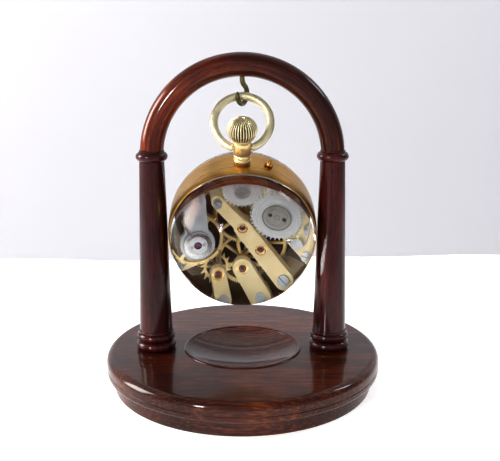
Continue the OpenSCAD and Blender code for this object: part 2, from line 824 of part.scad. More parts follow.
module endstone_cap() {
    color(steel) in_works() difference() {
        post(balance_at, cap_r, [bar_top + eps, ratchet_z + 0.4]);
        for (s = [-1, 1]) post(balance_at + [s*1.6, 0.5*s], 0.3 + fit, [bar_top - 1, top_z]);
    }
}

// Regulator: a ring round the cap with a pointer that lies over the cock
module regulator() {
    color(steel) in_works() difference() {
        slab([bar_top + seat, ratchet_z + 0.35]) difference() {
            union() {
                translate(balance_at) circle(cap_r + 1.3);
                translate(balance_at) rotate(heading(balance_at, balance_foot) + 28) {
                    translate([0, -0.45]) square([7.2, 0.9]);
                    translate([7.2, 0]) circle(0.45, $fn = 32);
                }
            }
        }
        post(balance_at, cap_r + run, [bar_top - 1, top_z]);
    }
}

// Barrel: a toothed drum let into the plate, its cover, the spring and the arbor
module barrel() {
    color(wheel_brass) in_works() difference() {
        union() {
            post(barrel_at, drum_r, [barrel_low, barrel_high]);
            slab(barrel_rim_z) translate(barrel_at) gear_plan(barrel_teeth, barrel_m, 0);
        }
        post(barrel_at, drum_r - drum_wall, [barrel_low + 0.3, barrel_high + 1]);
        post(barrel_at, 0.6 + run, [barrel_low - 1, barrel_high]);
    }
}

module barrel_cover() {
    color(wheel_brass) in_works() difference() {
        post(barrel_at, drum_r - drum_wall - fit, [barrel_high - 0.3, barrel_high]);
        post(barrel_at, arbor_square_r + run, [0, barrel_high + 1]);
    }
}

// Flat spiral strip: radius grows evenly from r1 to r2 over the turns
module spiral_strip(r1, r2, turns, t, steps) {
    n = turns*steps;
    inner = [for (i = [0:n]) polar(r1 + (r2 - r1)*i/n, 360*i/steps)];
    outer = [for (i = [n:-1:0]) polar(r1 + t + (r2 - r1)*i/n, 360*i/steps)];
    polygon(concat(inner, outer));
}

module mainspring() {
    color(blued) in_works() slab([barrel_low + 0.4, barrel_high - 0.4])
        translate(barrel_at) spiral_strip(arbor_core_r + 0.1, drum_r - drum_wall - 0.35, 8, 0.2, 20);
}

module barrel_arbor() {
    color(steel) in_works() {
        post(barrel_at, arbor_core_r, [barrel_low + 0.35, barrel_high - 0.35]);
        post(barrel_at, arbor_square_r, [0, ratchet_z + ratchet_t]);
        post(barrel_at, 0.6, [-plate_t + 0.1, 0]);
    }
}

module ratchet_wheel() {
    color(steel) in_works() difference() {
        slab([ratchet_z, ratchet_z + ratchet_t]) translate(barrel_at)
            gear_plan(ratchet_teeth, ratchet_m, 0);
        post(barrel_at, arbor_square_r + fit, [0, top_z]);
        for (s = [-1, 1]) post(barrel_at + [s*2, -0.8*s], 0.4 + fit, [0, top_z]);
    }
}

// Core plate of the ratchet wheel with its two screws
module ratchet_cap() {
    z = ratchet_z + ratchet_t;
    color(steel) in_works() difference() {
        post(barrel_at, ratchet_cap_r, [z + eps, top_z]);
        for (s = [-1, 1]) {
            at = barrel_at + [s*2, -0.8*s];
            difference() {
                post(at, 0.75, [top_z - 0.15, top_z + 1]);
                post(at, 0.6, [0, top_z - 0.02]);
            }
            translate([at[0], at[1], top_z - 0.15]) rotate(35)
                translate([-0.75, -0.1, 0]) cube([1.5, 0.2, 1]);
        }
    }
}

module crown_wheel() {
    phase = mesh_phase(barrel_at, crown_wheel_at, 0, ratchet_teeth, crown_wheel_teeth);
    color(steel) in_works() difference() {
        slab([ratchet_z, ratchet_z + ratchet_t]) translate(crown_wheel_at)
            gear_plan(crown_wheel_teeth, ratchet_m, phase);
        post(crown_wheel_at, 1.6 + run, [0, top_z]);
    }
}

module click() {
    tip = barrel_at + polar(ratchet_r + 0.75*ratchet_m + 0.12, heading(barrel_at, click_at) - 17);
    aim = heading(click_at, tip);
    z = [ratchet_z, ratchet_z + ratchet_t];
    color(steel) in_works() difference() {
        union() {
            post(click_at, 1.45, z);
            slab(z) polygon([
                tip, click_at + polar(1.3, aim - 85), click_at + polar(1.1, aim + 180),
                click_at + polar(1.3, aim + 60)
            ]);
        }
        post(click_at, screw_r + run, [0, top_z]);
    }
}

module click_spring() {
    color(blued) in_works() difference() {
        slab([ratchet_z, ratchet_z + ratchet_t]) {
            translate(spring_foot) circle(1.1, $fn = 64);
            capsule(spring_foot + [0.6, -0.6], spring_elbow, 0.3);
            capsule(spring_elbow, spring_tip, 0.3);
        }
        post(spring_foot, screw_r + fit, [0, top_z]);
    }
}

// Train wheels and pinions
function centre_pinion_phase() = mesh_phase(barrel_at, centre_at, 0, barrel_teeth, pinion_leaves);
function third_pinion_phase() = mesh_phase(centre_at, third_at, 0, centre_teeth, pinion_leaves);
function fourth_pinion_phase() = mesh_phase(third_at, fourth_at, 0, third_teeth, pinion_leaves);
function escape_pinion_phase() = mesh_phase(fourth_at, escape_at, 0, fourth_teeth, escape_leaves);

module wheel_on(at, z, bore) {
    in_works() difference() {
        slab(z) translate(at) children();
        post(at, bore, [z[0] - 1, z[1] + 1]);
    }
}

module centre_wheel() {
    color(wheel_brass) wheel_on(centre_at, centre_wheel_z, 0.9)
        crossed_plan(centre_teeth, centre_m, 0, 0.7, 1.7, 5, 0.75);
}

module centre_pinion() {
    color(steel) in_works() {
        slab([0.7, 1.8]) gear_plan(pinion_leaves, barrel_m, centre_pinion_phase());
        post(centre_at, 0.9 - fit, [1.7, centre_wheel_z[1] + 0.1]);
        post(centre_at, 0.7, [0.1, bar_z - 0.1]);
        post(centre_at, 0.4, [1, bar_top - 0.3]);
        post(centre_at, 0.5, [-5.0, 0.5]);
    }
}

module third_wheel() {
    color(wheel_brass) wheel_on(third_at, third_wheel_z, 0.6)
        crossed_plan(third_teeth, third_m, 0, 0.6, 1.3, 5, 0.6);
}

// Steel arbor: leaves, a seat for the wheel, a stem and two fine pivots
module arbor(at, leaves, m, phase, leaf_z, wheel_z, seat_r, low, high) {
    in_works() {
        slab(leaf_z) translate(at) gear_plan(leaves, m, phase);
        post(at, seat_r - fit, [wheel_z[0] - 0.1, wheel_z[1] + 0.1]);
        post(at, 0.35, [0.1, high - 0.1]);
        post(at, pivot_r, [low, high + 0.8]);
    }
}

module third_pinion() {
    color(steel) arbor(third_at, pinion_leaves, centre_m, third_pinion_phase(), [1.7, 2.65],
        third_wheel_z, 0.6, -0.9, bar_z);
}

module fourth_wheel() {
    color(wheel_brass) wheel_on(fourth_at, fourth_wheel_z, 0.6)
        crossed_plan(fourth_teeth, fourth_m, 0, 0.6, 1.3, 5, 0.6);
}

module fourth_pinion() {
    color(steel) {
        arbor(fourth_at, pinion_leaves, third_m, fourth_pinion_phase(), [2.65, 3.2],
            fourth_wheel_z, 0.6, -0.9, bar_z);
        in_works() post(fourth_at, 0.3, [-4.1, 0.5]);
    }
}

// Escape wheel: pointed teeth that lean forward
module escape_wheel() {
    tip_r = 3.5;
    root_r = 2.75;
    teeth = 15;
    color(wheel_brass) wheel_on(escape_at, escape_wheel_z, 0.5) difference() {
        polygon([for (i = [0:teeth-1], k = [[0, root_r], [11, tip_r], [13, tip_r], [14, root_r]])
            polar(k[1], 360*i/teeth + k[0])]);
        difference() {
            circle(2.2, $fn = 64);
            circle(0.95, $fn = 48);
            for (a = [0:90:270]) rotate(a) translate([0, -0.25]) square([3, 0.5]);
        }
    }
}

module escape_pinion() {
    color(steel) arbor(escape_at, escape_leaves, fourth_m, escape_pinion_phase(), [0.95, 1.55],
        escape_wheel_z, 0.5, -0.9, bar_z);
}

// Pallet fork: lever to the balance, two arms with ruby stones, and its arbor
module pallet_fork() {
    notch_x = reach(pallet_at, balance_at) - roller_pin_r;
    color(steel) in_works() {
        slab(fork_z) translate(pallet_at) rotate(heading(pallet_at, balance_at)) {
            circle(0.6, $fn = 48);
            translate([0, -0.25]) square([notch_x - 0.55, 0.5]);
            difference() {
                translate([notch_x - 0.6, -0.6]) square([1, 1.2]);
                translate([notch_x - 0.3, -0.3]) square([1, 0.6]);
            }
            polygon([[0.45, 0], [-0.2, 2.1], [-0.85, 2.35], [-1, 1.95], [-0.3, 0.4],
                     [-0.3, -0.4], [-1, -1.95], [-0.85, -2.35], [-0.2, -2.1]]);
        }
        post(pallet_at, 0.35, [0.1, 2.3]);
        post(pallet_at, pivot_r, [-0.9, 2.85]);
    }
}

module balance_wheel() {
    rim_r = balance_d/2 - 0.5;
    color(wheel_brass) in_works() {
        difference() {
            slab(balance_z) translate(balance_at) difference() {
                circle(rim_r);
                difference() {
                    circle(rim_r - 0.8);
                    circle(1.3);
                    rotate(62) translate([-rim_r, -0.45]) square([2*rim_r, 0.9]);
                }
            }
            post(balance_at, 0.6, [0, bar_z + 1]);
        }
        for (i = [0:13])
            translate([balance_at[0], balance_at[1], (balance_z[0] + balance_z[1])/2])
                rotate([0, 0, 62 + 12.86 + i*25.7]) translate([rim_r - 0.2, 0, 0])
                    rotate([0, 90, 0]) cylinder(r = 0.26, h = 0.7, $fn = 24);
    }
}

module balance_staff() {
    heading_pin = heading(balance_at, pallet_at);
    color(steel) in_works() {
        post(balance_at, 0.6 - fit, [2.4, 3.75]);
        post(balance_at, 0.8, [3.85, 4.25]);
        post(balance_at, 0.4, [0.1, 4.35]);
        post(balance_at, pivot_r, [-0.9, bar_top - 0.1]);
        post(balance_at, 1.5, [1.35, 1.65]);
        post(balance_at + polar(roller_pin_r, heading_pin), 0.2, [1.5, fork_z[0] - seat]);
    }
}

module hairspring() {
    color(blued) in_works() slab([3.9, 4.15])
        translate(balance_at) spiral_strip(0.85, 4.1, hairspring_turns, 0.1, 20);
}

// Motion work behind the plate, dial and hands
module cannon_pinion() {
    color(steel) in_works() difference() {
        union() {
            slab([-plate_t - 1.05, -plate_t - 0.25]) gear_plan(cannon_teeth, cannon_m, 0);
            post(centre_at, 0.8, [minute_z[0], -plate_t - 1]);
        }
        post(centre_at, 0.5 + run, [minute_z[0] - 1, 0]);
    }
}

module minute_wheel() {
    at_cannon = mesh_phase(centre_at, motion_at, 0, cannon_teeth, minute_teeth);
    color(wheel_brass) in_works() difference() {
        union() {
            slab([-plate_t - 0.6, -plate_t - 0.35]) translate(motion_at)
                crossed_plan(minute_teeth, cannon_m, at_cannon, 0.5, 1.1, 4, 0.5);
            slab([-plate_t - 1.4, -plate_t - 0.5]) translate(motion_at)
                gear_plan(minute_leaves, hour_m, 0);
        }
        post(motion_at, 0.4 + run, [-plate_t - 2, 0]);
    }
}

module hour_wheel() {
    phase = mesh_phase(motion_at, centre_at, 0, minute_leaves, hour_teeth);
    color(wheel_brass) in_works() difference() {
        union() {
            slab([-plate_t - 1.35, -plate_t - 1.15])
                crossed_plan(hour_teeth, hour_m, phase, 0.5, 1.6, 4, 0.5);
            post(centre_at, 1.2, [hour_z[0], -plate_t - 1.2]);
        }
        post(centre_at, 0.8 + run, [hour_z[0] - 1, 0]);
    }
}

module dial() {
    color(enamel) in_works() difference() {
        post(centre_at, dial_d/2, dial_z, $fn = 180);
        post(centre_at, 1.4, [dial_z[0] - 1, 0]);
        post(fourth_at, 0.6, [dial_z[0] - 1, 0]);
        post(fourth_at, 5, [dial_z[0] - 1, dial_z[0] + 0.08]);
    }
}

// Hand with a spade head, pointing to twelve and turned by the given angle
module hand(len, z, hub_r, bore, spade_r, turn) {
    in_works() difference() {
        slab(z) rotate(turn) {
            circle(hub_r, $fn = 48);
            translate([0, len - 3*spade_r]) circle(spade_r, $fn = 48);
            polygon([[-0.35, 0], [0.35, 0], [0.25, len - 3*spade_r], [-0.25, len - 3*spade_r]]);
            polygon([[-spade_r*0.7, len - 2.6*spade_r], [spade_r*0.7, len - 2.6*spade_r], [0, len]]);
        }
        post(centre_at, bore, [z[0] - 1, z[1] + 1]);
    }
}

module hour_hand() {
    color(blued) hand(hour_hand_len, hour_z, 1.6, 1.2 + fit, 1.1, hour_turn);
}

module minute_hand() {
    color(blued) hand(minute_hand_len, minute_z, 1.3, 0.8 + fit, 0.8, minute_turn);
}

module seconds_hand() {
    color(blued) in_works() difference() {
        union() {
            slab(seconds_z) translate(fourth_at) {
                circle(0.6, $fn = 48);
                polygon([
                    [-0.12, -1.6], [0.12, -1.6], [0.06, seconds_hand_len], [-0.06, seconds_hand_len]
                ]);
            }
            post(fourth_at, 0.5, [seconds_z[0], -plate_t - 1.7]);
        }
        post(fourth_at, 0.3 + fit, [seconds_z[0] - 1, 0]);
    }
}

base();
column_left();
column_right();
arch();
hook();
bow();
case_band();
front_bezel();
back_bezel();
front_lens();
back_lens();
casing_ring();
case_screws();
pendant();
pin_guard();
push_pin();
crown();
winding_stem();
winding_pinion();
main_plate();
barrel_bridge();
train_bar();
fourth_cock();
escape_cock();
pallet_cock();
balance_cock();
bridge_screws();
jewels();
endstone_cap();
regulator();
barrel();
barrel_cover();
mainspring();
barrel_arbor();
ratchet_wheel();
ratchet_cap();
crown_wheel();
click();
click_spring();
centre_wheel();
centre_pinion();
third_wheel();
third_pinion();
fourth_wheel();
fourth_pinion();
escape_wheel();
escape_pinion();
pallet_fork();
balance_wheel();
balance_staff();
hairspring();
cannon_pinion();
minute_wheel();
hour_wheel();
dial();
hour_hand();
minute_hand();
seconds_hand();
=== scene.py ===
import json
import math

import bmesh
import bpy
import numpy as np
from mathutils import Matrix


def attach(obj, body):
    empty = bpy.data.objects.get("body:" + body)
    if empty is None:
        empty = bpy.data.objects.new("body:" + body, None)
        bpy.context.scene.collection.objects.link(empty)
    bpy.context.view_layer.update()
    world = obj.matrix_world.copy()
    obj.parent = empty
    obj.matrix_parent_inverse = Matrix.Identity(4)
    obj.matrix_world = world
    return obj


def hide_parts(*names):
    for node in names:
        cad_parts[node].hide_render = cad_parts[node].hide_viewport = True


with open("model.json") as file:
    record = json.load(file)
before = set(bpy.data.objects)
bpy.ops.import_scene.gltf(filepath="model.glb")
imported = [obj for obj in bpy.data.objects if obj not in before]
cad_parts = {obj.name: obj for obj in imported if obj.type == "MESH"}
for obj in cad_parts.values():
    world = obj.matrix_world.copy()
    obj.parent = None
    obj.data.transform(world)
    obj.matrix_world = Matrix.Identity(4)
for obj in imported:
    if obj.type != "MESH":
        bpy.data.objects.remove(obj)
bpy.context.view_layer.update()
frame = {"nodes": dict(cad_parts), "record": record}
nodes = frame["nodes"]
print("frame loaded:", len(nodes), "nodes")

# Places shared by several pieces, in millimetres, in the row frame, as the frame's solids have them
hang = {"bowTop": 119.4, "bowLean": 29.598586, "ballY": 0.3, "ballZ": 66.166284, "caseLean": 17.5}
works = {
    "plateBack": 2.4, "barTop": 5.0, "capTop": 5.5, "coreTop": 5.9, "dialFace": -3.9,
    "centre": (0.0, 0.0), "barrel": (9.9530, 4.6836), "third": (4.7037, -6.5943), "fourth": (0.0, -11.7783),
    "escape": (-6.0026, -13.3306), "balance": (-11.9, -4.85), "crownWheel": (0.0, 13.7870),
}
dome = {
    "radius": 29.75, "offset": 3.2, "edge": 29.128, "seat": 8.05, "bandBore": 27.4, "boreGap": 0.2,
    "frontFlat": 3.7, "backFlat": 7.8,
}


# Degrees to radians
def rad(degrees):
    return math.radians(degrees)


# Turn about X: y' = y cos a - z sin a, z' = y sin a + z cos a
def turnX(p, degrees):
    c, s = math.cos(rad(degrees)), math.sin(rad(degrees))
    return np.stack([p[..., 0], p[..., 1] * c - p[..., 2] * s, p[..., 1] * s + p[..., 2] * c], -1)


# Case frame to row frame: turned by the case's lean about X, then raised to the ball's centre
def toCase(p):
    return turnX(p, hang["caseLean"]) + np.array([0, hang["ballY"], hang["ballZ"]])


# Frame of the ball's axis to row frame: the third coordinate runs forward, along -Y of the case
def toBall(p):
    return toCase(np.stack([p[..., 0], -p[..., 2], p[..., 1]], -1))


# Movement plan (x, y, height over the plate) to row frame
def toWorks(p):
    return toCase(np.stack([p[..., 0], works["plateBack"] - p[..., 2], p[..., 1]], -1))


# Bow frame to row frame: turned back by the bow's lean about X, under the hook
def toBow(p):
    return turnX(p, -hang["bowLean"]) + np.array([0, 0, hang["bowTop"]])


# Points of a circular arc in a profile plane: centre plus r times (cos a, sin a)
def arc(cx, cy, r, a0, a1, n):
    a = np.radians(np.linspace(a0, a1, n))
    return np.stack([cx + r * np.cos(a), cy + r * np.sin(a)], -1)


# One profile from several runs of points, with points closer than a micron left out
def joined(*runs):
    pts = np.concatenate([np.atleast_2d(np.array(r, float)) for r in runs])
    keep = np.r_[True, np.linalg.norm(np.diff(pts, axis=0), axis=1) > 1e-3]
    return pts[keep]


# Grid of a profile (radius, height) turned about Z: x = r cos a, y = r sin a
def revolve(profile, count=160):
    a = np.linspace(0, 2 * math.pi, count, endpoint=False)
    r, h = profile[:, 0][:, None], profile[:, 1][:, None]
    return np.stack([r * np.cos(a), r * np.sin(a), np.repeat(h, count, 1)], -1)


# Grid of a round wire along a path: radius times (cos a, sin a) in the two normals carried along it
def sweep(path, radius, count=32):
    path = np.array(path, float)
    radius = np.broadcast_to(radius, (len(path),))
    tangent = np.gradient(path, axis=0)
    tangent /= np.linalg.norm(tangent, axis=1)[:, None]
    side = np.cross(tangent[0], [0.0, 0.0, 1.0] if abs(tangent[0][2]) < 0.9 else [1.0, 0.0, 0.0])
    sides = []
    for t in tangent:
        side = side - t * side.dot(t)
        side /= np.linalg.norm(side)
        sides.append(side)
    sides = np.array(sides)
    other = np.cross(tangent, sides)
    a = np.linspace(0, 2 * math.pi, count, endpoint=False)
    ring = np.cos(a)[None, :, None] * sides[:, None] + np.sin(a)[None, :, None] * other[:, None]
    return path[:, None] + radius[:, None, None] * ring


# Quads of a grid of nu by nv points, closed in the second direction as asked
def gridFaces(nu, nv, closeV):
    i, j = np.meshgrid(np.arange(nu - 1), np.arange(nv if closeV else nv - 1), indexing="ij")
    j2 = (j + 1) % nv
    return np.stack([i * nv + j, (i + 1) * nv + j, (i + 1) * nv + j2, i * nv + j2], -1).reshape(-1, 4)


# Smooth shading with creases where two faces meet at more than the given angle
def smooth(mesh, crease):
    mesh.polygons.foreach_set("use_smooth", np.ones(len(mesh.polygons), bool))
    mesh.set_sharp_from_angle(angle=rad(crease))


# New object at the origin with one material
def linked(name, mesh, material):
    mesh.materials.append(material)
    obj = bpy.data.objects.new(name, mesh)
    bpy.context.scene.collection.objects.link(obj)
    return obj


# One object from one or more grids of points in mm, its doubled points merged and its normals outward
def makePiece(name, grids, body, material, closeV=True, grain=None, crease=38):
    if isinstance(grids, np.ndarray):
        grids = [grids]
        grain = [grain] if grain is not None else None
    faces, base = [], 0
    for g in grids:
        faces.append(gridFaces(g.shape[0], g.shape[1], closeV) + base)
        base += g.shape[0] * g.shape[1]
    points = np.concatenate([g.reshape(-1, 3) / 1000 for g in grids])
    mesh = bpy.data.meshes.new(name)
    mesh.from_pydata(points.tolist(), [], np.concatenate(faces).tolist())
    if grain is not None:
        layer = mesh.attributes.new("grain", "FLOAT_VECTOR", "POINT")
        values = np.concatenate([g.reshape(-1, 3) / 1000 for g in grain])
        layer.data.foreach_set("vector", values.astype(np.float32).ravel())
    work = bmesh.new()
    work.from_mesh(mesh)
    bmesh.ops.remove_doubles(work, verts=work.verts, dist=2e-7)
    bmesh.ops.recalc_face_normals(work, faces=work.faces)
    work.to_mesh(mesh)
    work.free()
    smooth(mesh, crease)
    obj = linked(name, mesh, material)
    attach(obj, body)


# A material and the few node steps that every finish here is built from
class Shader:
    def __init__(self, name, color, metallic=0.0, roughness=0.5):
        self.material = bpy.data.materials.new(name)
        self.material.use_nodes = True
        self.tree = self.material.node_tree
        self.bsdf = self.tree.nodes["Principled BSDF"]
        self.set("Base Color", (*color, 1))
        self.set("Metallic", metallic)
        self.set("Roughness", roughness)
        self.material.diffuse_color = (*color, 1)
        self.normal = None

    def set(self, socket, value):
        self.bsdf.inputs[socket].default_value = value

    def node(self, kind, **values):
        made = self.tree.nodes.new(kind)
        for key, value in values.items():
            setattr(made, key, value)
        return made

    def link(self, a, b):
        self.tree.links.new(a, b)

    # Place on the piece: its own attribute, or the Object coordinates in metres
    def coords(self, attribute=None):
        if attribute:
            return self.node("ShaderNodeAttribute", attribute_name=attribute).outputs["Vector"]
        return self.node("ShaderNodeTexCoord").outputs["Object"]

    # Coordinates scaled and turned
    def mapped(self, source, scale, rotation=(0, 0, 0)):
        made = self.node("ShaderNodeMapping")
        made.inputs["Scale"].default_value = scale
        made.inputs["Rotation"].default_value = rotation
        self.link(source, made.inputs["Vector"])
        return made.outputs["Vector"]

    def noise(self, vector, scale=1.0, detail=4.0, rough=0.5, distortion=0.0):
        made = self.node("ShaderNodeTexNoise")
        for socket, value in zip(("Scale", "Detail", "Roughness", "Distortion"), (scale, detail, rough, distortion)):
            made.inputs[socket].default_value = value
        self.link(vector, made.inputs["Vector"])
        return made.outputs["Fac"]

    # Colour by value, straight between the stops
    def ramp(self, source, stops):
        made = self.node("ShaderNodeValToRGB")
        while len(made.color_ramp.elements) < len(stops):
            made.color_ramp.elements.new(0.5)
        for element, (at, color) in zip(made.color_ramp.elements, stops):
            element.position = at
            element.color = (*color, 1)
        self.link(source, made.inputs["Fac"])
        return made.outputs["Color"]

    # First coordinate alone
    def firstOf(self, vector):
        made = self.node("ShaderNodeSeparateXYZ")
        self.link(vector, made.inputs[0])
        return made.outputs["X"]

    # Value carried in a straight line from low..high to outLow..outHigh, and held at the ends
    def span(self, source, low, high, outLow, outHigh):
        made = self.node("ShaderNodeMapRange")
        for socket, value in zip(("From Min", "From Max", "To Min", "To Max"), (low, high, outLow, outHigh)):
            made.inputs[socket].default_value = value
        self.link(source, made.inputs["Value"])
        return made.outputs["Result"]

    # A number, a colour or another node's output put into a socket
    def feed(self, socket, value):
        if isinstance(value, (int, float)):
            socket.default_value = value
        elif isinstance(value, tuple):
            socket.default_value = (*value, 1)
        else:
            self.link(value, socket)

    def math(self, operation, *values):
        made = self.node("ShaderNodeMath", operation=operation)
        for socket, value in zip(made.inputs, values):
            self.feed(socket, value)
        return made.outputs["Value"]

    # Two colours by a factor: a + factor (b - a), or a times b
    def mix(self, factor, a, b, blend="MIX"):
        made = self.node("ShaderNodeMix", data_type="RGBA", blend_type=blend)
        for index, value in ((0, factor), (6, a), (7, b)):
            self.feed(made.inputs[index], value)
        return made.outputs[2]

    # Relief of the given depth in metres, laid over the relief that is already there
    def bump(self, height, strength, distance):
        made = self.node("ShaderNodeBump")
        made.inputs["Strength"].default_value = strength
        made.inputs["Distance"].default_value = distance
        self.link(height, made.inputs["Height"])
        if self.normal is not None:
            self.link(self.normal, made.inputs["Normal"])
        self.normal = made.outputs["Normal"]
        self.link(self.normal, self.bsdf.inputs["Normal"])

    # Node output into a socket of the surface
    def plug(self, source, socket):
        self.link(source, self.bsdf.inputs[socket])


# Tones of the mahogany, its streaks in mm, and how its coat shines; "ends" is painted light and shade along the run: it
# darkens the low end of the run and lightens the high end (on the arch, painted shade at its right end and painted
# light at its left end)
wood = {
    "base": {"dark": (0.018, 0.0026, 0.0018), "mid": (0.054, 0.0095, 0.0040), "warm": (0.19, 0.047, 0.009),
             "streakLength": 13.0, "streakWidth": 0.75, "spread": 0.25, "coatRoughness": 0.08, "ends": (1.0, 1.0)},
    "column": {"dark": (0.018, 0.002, 0.003), "mid": (0.052, 0.0062, 0.007), "warm": (0.115, 0.015, 0.011),
               "streakLength": 34.0, "streakWidth": 1.1, "spread": 0.34, "coatRoughness": 0.13, "ends": (1.0, 1.0)},
    # arch: painted shade at its right end and painted light at its left end, by "ends"
    "arch": {"dark": (0.020, 0.0026, 0.0024), "mid": (0.080, 0.0115, 0.0045), "warm": (0.25, 0.052, 0.010),
             "streakLength": 26.0, "streakWidth": 1.3, "spread": 0.33, "coatRoughness": 0.08, "ends": (0.5, 1.25)},
}
polish = {"Specular IOR Level": 0.08, "Coat Weight": 0.8, "Coat IOR": 1.42}


# Polished mahogany: flecks and pores stretched along the grain attribute, under a clear coat
def mahogany(name, look):
    tones = wood[look]
    s = Shader(name, tones["mid"], 0.0, 0.36)
    grain = s.coords("grain")
    along, across = 1000 / tones["streakLength"], 1000 / tones["streakWidth"]
    streaks = s.noise(s.mapped(grain, (along, across, across)), detail=6, rough=0.62, distortion=0.25)
    clouds = s.noise(s.mapped(grain, (16, 40, 40)), detail=4, rough=0.55, distortion=0.8)
    pores = s.noise(s.mapped(grain, (260, 3400, 3400)), detail=2, rough=0.5)
    middle, spread = 0.49, tones["spread"]
    body = s.ramp(streaks, [(middle - spread, tones["dark"]), (middle, tones["mid"]), (middle + spread, tones["warm"])])
    glow = s.ramp(clouds, [(0.34, (0.50, 0.46, 0.50)), (0.52, (0.95, 0.93, 0.95)), (0.70, (1.75, 1.85, 1.4))])
    toned = s.mix(1.0, body, glow, "MULTIPLY")
    # painted light and shade along the run: the tone is scaled from the first value of "ends" at the low end to the
    # second at the high end
    ends = s.span(s.firstOf(grain), 0.02, 0.10, *tones["ends"])
    level = s.node("ShaderNodeCombineXYZ")
    for socket in level.inputs:
        s.link(ends, socket)
    toned = s.mix(1.0, toned, level.outputs[0], "MULTIPLY")
    dots = s.ramp(pores, [(0.36, (0.35, 0.30, 0.30)), (0.45, (1, 1, 1))])
    s.plug(s.mix(0.8, toned, dots, "MULTIPLY"), "Base Color")
    s.plug(s.span(streaks, 0.3, 0.7, 0.32, 0.46), "Roughness")
    s.set("Coat Roughness", tones["coatRoughness"])
    for socket, value in polish.items():
        s.set(socket, value)
    s.bump(pores, 0.10, 0.00006)
    return s.material


# Metal with clouded tone, fine scratches or a frosted grain, and painted shade (a dark tone) where the grain attribute
# is high, as in the valleys of flutes;
# its roughness runs from roughness - wear to roughness + wear
def metal(name, color, roughness, wear=0.06, frost=0.0, scratches=0.25, tint=None, cloudScale=160, metallic=1.0,
          valleyShade=None):
    s = Shader(name, color, metallic, roughness)
    at = s.coords()
    clouds = s.noise(at, cloudScale, 4, 0.6, 0.3)
    other = tint or tuple(v * 0.78 for v in color)
    tone = s.ramp(clouds, [(0.32, other), (0.58, color), (0.80, tuple(min(1, v * 1.08) for v in color))])
    # painted shade: the dark tone is mixed in where the cut carried in the grain attribute is deep
    if valleyShade:
        tone = s.mix(s.span(s.firstOf(s.coords("grain")), 0.00022, 0.00055, 0.0, 1.0), tone, valleyShade)
    s.plug(tone, "Base Color")
    fine = s.noise(s.mapped(at, (900, 2600, 5200), rotation=(0.4, 0.3, 0.9)), detail=3, rough=0.6)
    worn = s.math("ADD", clouds, s.math("MULTIPLY", fine, 0.5))
    s.plug(s.span(worn, 0.45, 1.05, roughness - wear, roughness + wear), "Roughness")
    if scratches:
        s.bump(fine, scratches, 0.000004)
    if frost:
        s.bump(s.noise(at, 9000, 2, 0.5), frost, 0.000012)
    return s.material


# Metal finished in fine rings about a point of the movement's plan, or round a drum on that axis:
# distance from the axis, angle round it and place along it drive a stretched noise
# a drum also gets painted shade inside its bore
def turnedMetal(name, color, roughness, centre, rings=2600, strength=0.12, dark=(0.84, 0.84, 0.84), drum=False,
                metallic=1.0):
    s = Shader(name, color, metallic, roughness)
    shift = s.node("ShaderNodeVectorMath", operation="SUBTRACT")
    s.link(s.coords(), shift.inputs[0])
    shift.inputs[1].default_value = tuple(toWorks(np.array([*centre, works["plateBack"]])) / 1000)
    parts = []
    for axis in toWorks(np.eye(3)) - toWorks(np.zeros(3)):
        dot = s.node("ShaderNodeVectorMath", operation="DOT_PRODUCT")
        s.link(shift.outputs["Vector"], dot.inputs[0])
        dot.inputs[1].default_value = tuple(axis)
        parts.append(dot.outputs["Value"])
    x, y, z = parts
    radius = s.math("SQRT", s.math("ADD", s.math("MULTIPLY", x, x), s.math("MULTIPLY", y, y)))
    both = s.node("ShaderNodeCombineXYZ")
    s.link(s.math("MULTIPLY", z if drum else radius, rings), both.inputs["X"])
    s.link(s.math("MULTIPLY", s.math("ARCTAN2", y, x), 2.2 if drum else 1.2), both.inputs["Y"])
    lines = s.noise(both.outputs["Vector"], 1.0, 4 if drum else 3, 0.6)
    tone = s.ramp(lines, [(0.34, tuple(v * d for v, d in zip(color, dark))), (0.62, color)])
    # painted shade: the bore behind the glass is painted darker than the outside
    if drum:  # the bore behind the glass is darker than the outside
        bore = dome["edge"] / 1000
        tone = s.mix(s.span(radius, bore - 0.0006, bore - 0.0002, 0.0, 1.0), (0.03, 0.018, 0.008), tone)
    s.plug(tone, "Base Color")
    s.plug(s.span(lines, 0.3, 0.7, roughness - 0.05, roughness + 0.07), "Roughness")
    s.bump(lines, strength, 0.000006)
    return s.material


glassColor = (0.985, 0.995, 0.99)
glassLook = {"Transmission Weight": 1.0, "IOR": 1.47, "Thin Film Thickness": 105.0, "Thin Film IOR": 1.33}


# Solid clear glass with a trace of green; the thin film takes off the surface's own reflection
def clearGlass(name):
    s = Shader(name, glassColor, 0.0, 0.0)
    for socket, value in glassLook.items():
        s.set(socket, value)
    return s.material


# Deep red jewel, part clear
def gem(name):
    s = Shader(name, (0.55, 0.02, 0.09), 0.0, 0.06)
    s.set("Transmission Weight", 0.55)
    s.set("IOR", 1.76)
    tone = s.noise(s.coords(), 2400, 2, 0.5)
    s.plug(s.ramp(tone, [(0.3, (0.16, 0.008, 0.02)), (0.7, (0.42, 0.03, 0.07))]), "Base Color")
    return s.material


# Fired enamel: nearly even colour, gloss, and a faint unevenness of the surface
def enamelPaint(name, color, speckle=0.03, roughness=0.22):
    s = Shader(name, color, 0.0, roughness)
    tone = s.noise(s.coords(), 420, 3, 0.6)
    s.plug(s.ramp(tone, [(0.3, tuple(v * (1 - speckle) for v in color)), (0.7, color)]), "Base Color")
    s.set("Coat Weight", 0.6)
    s.set("Coat Roughness", 0.05)
    s.bump(tone, 0.05, 0.00003)
    return s.material


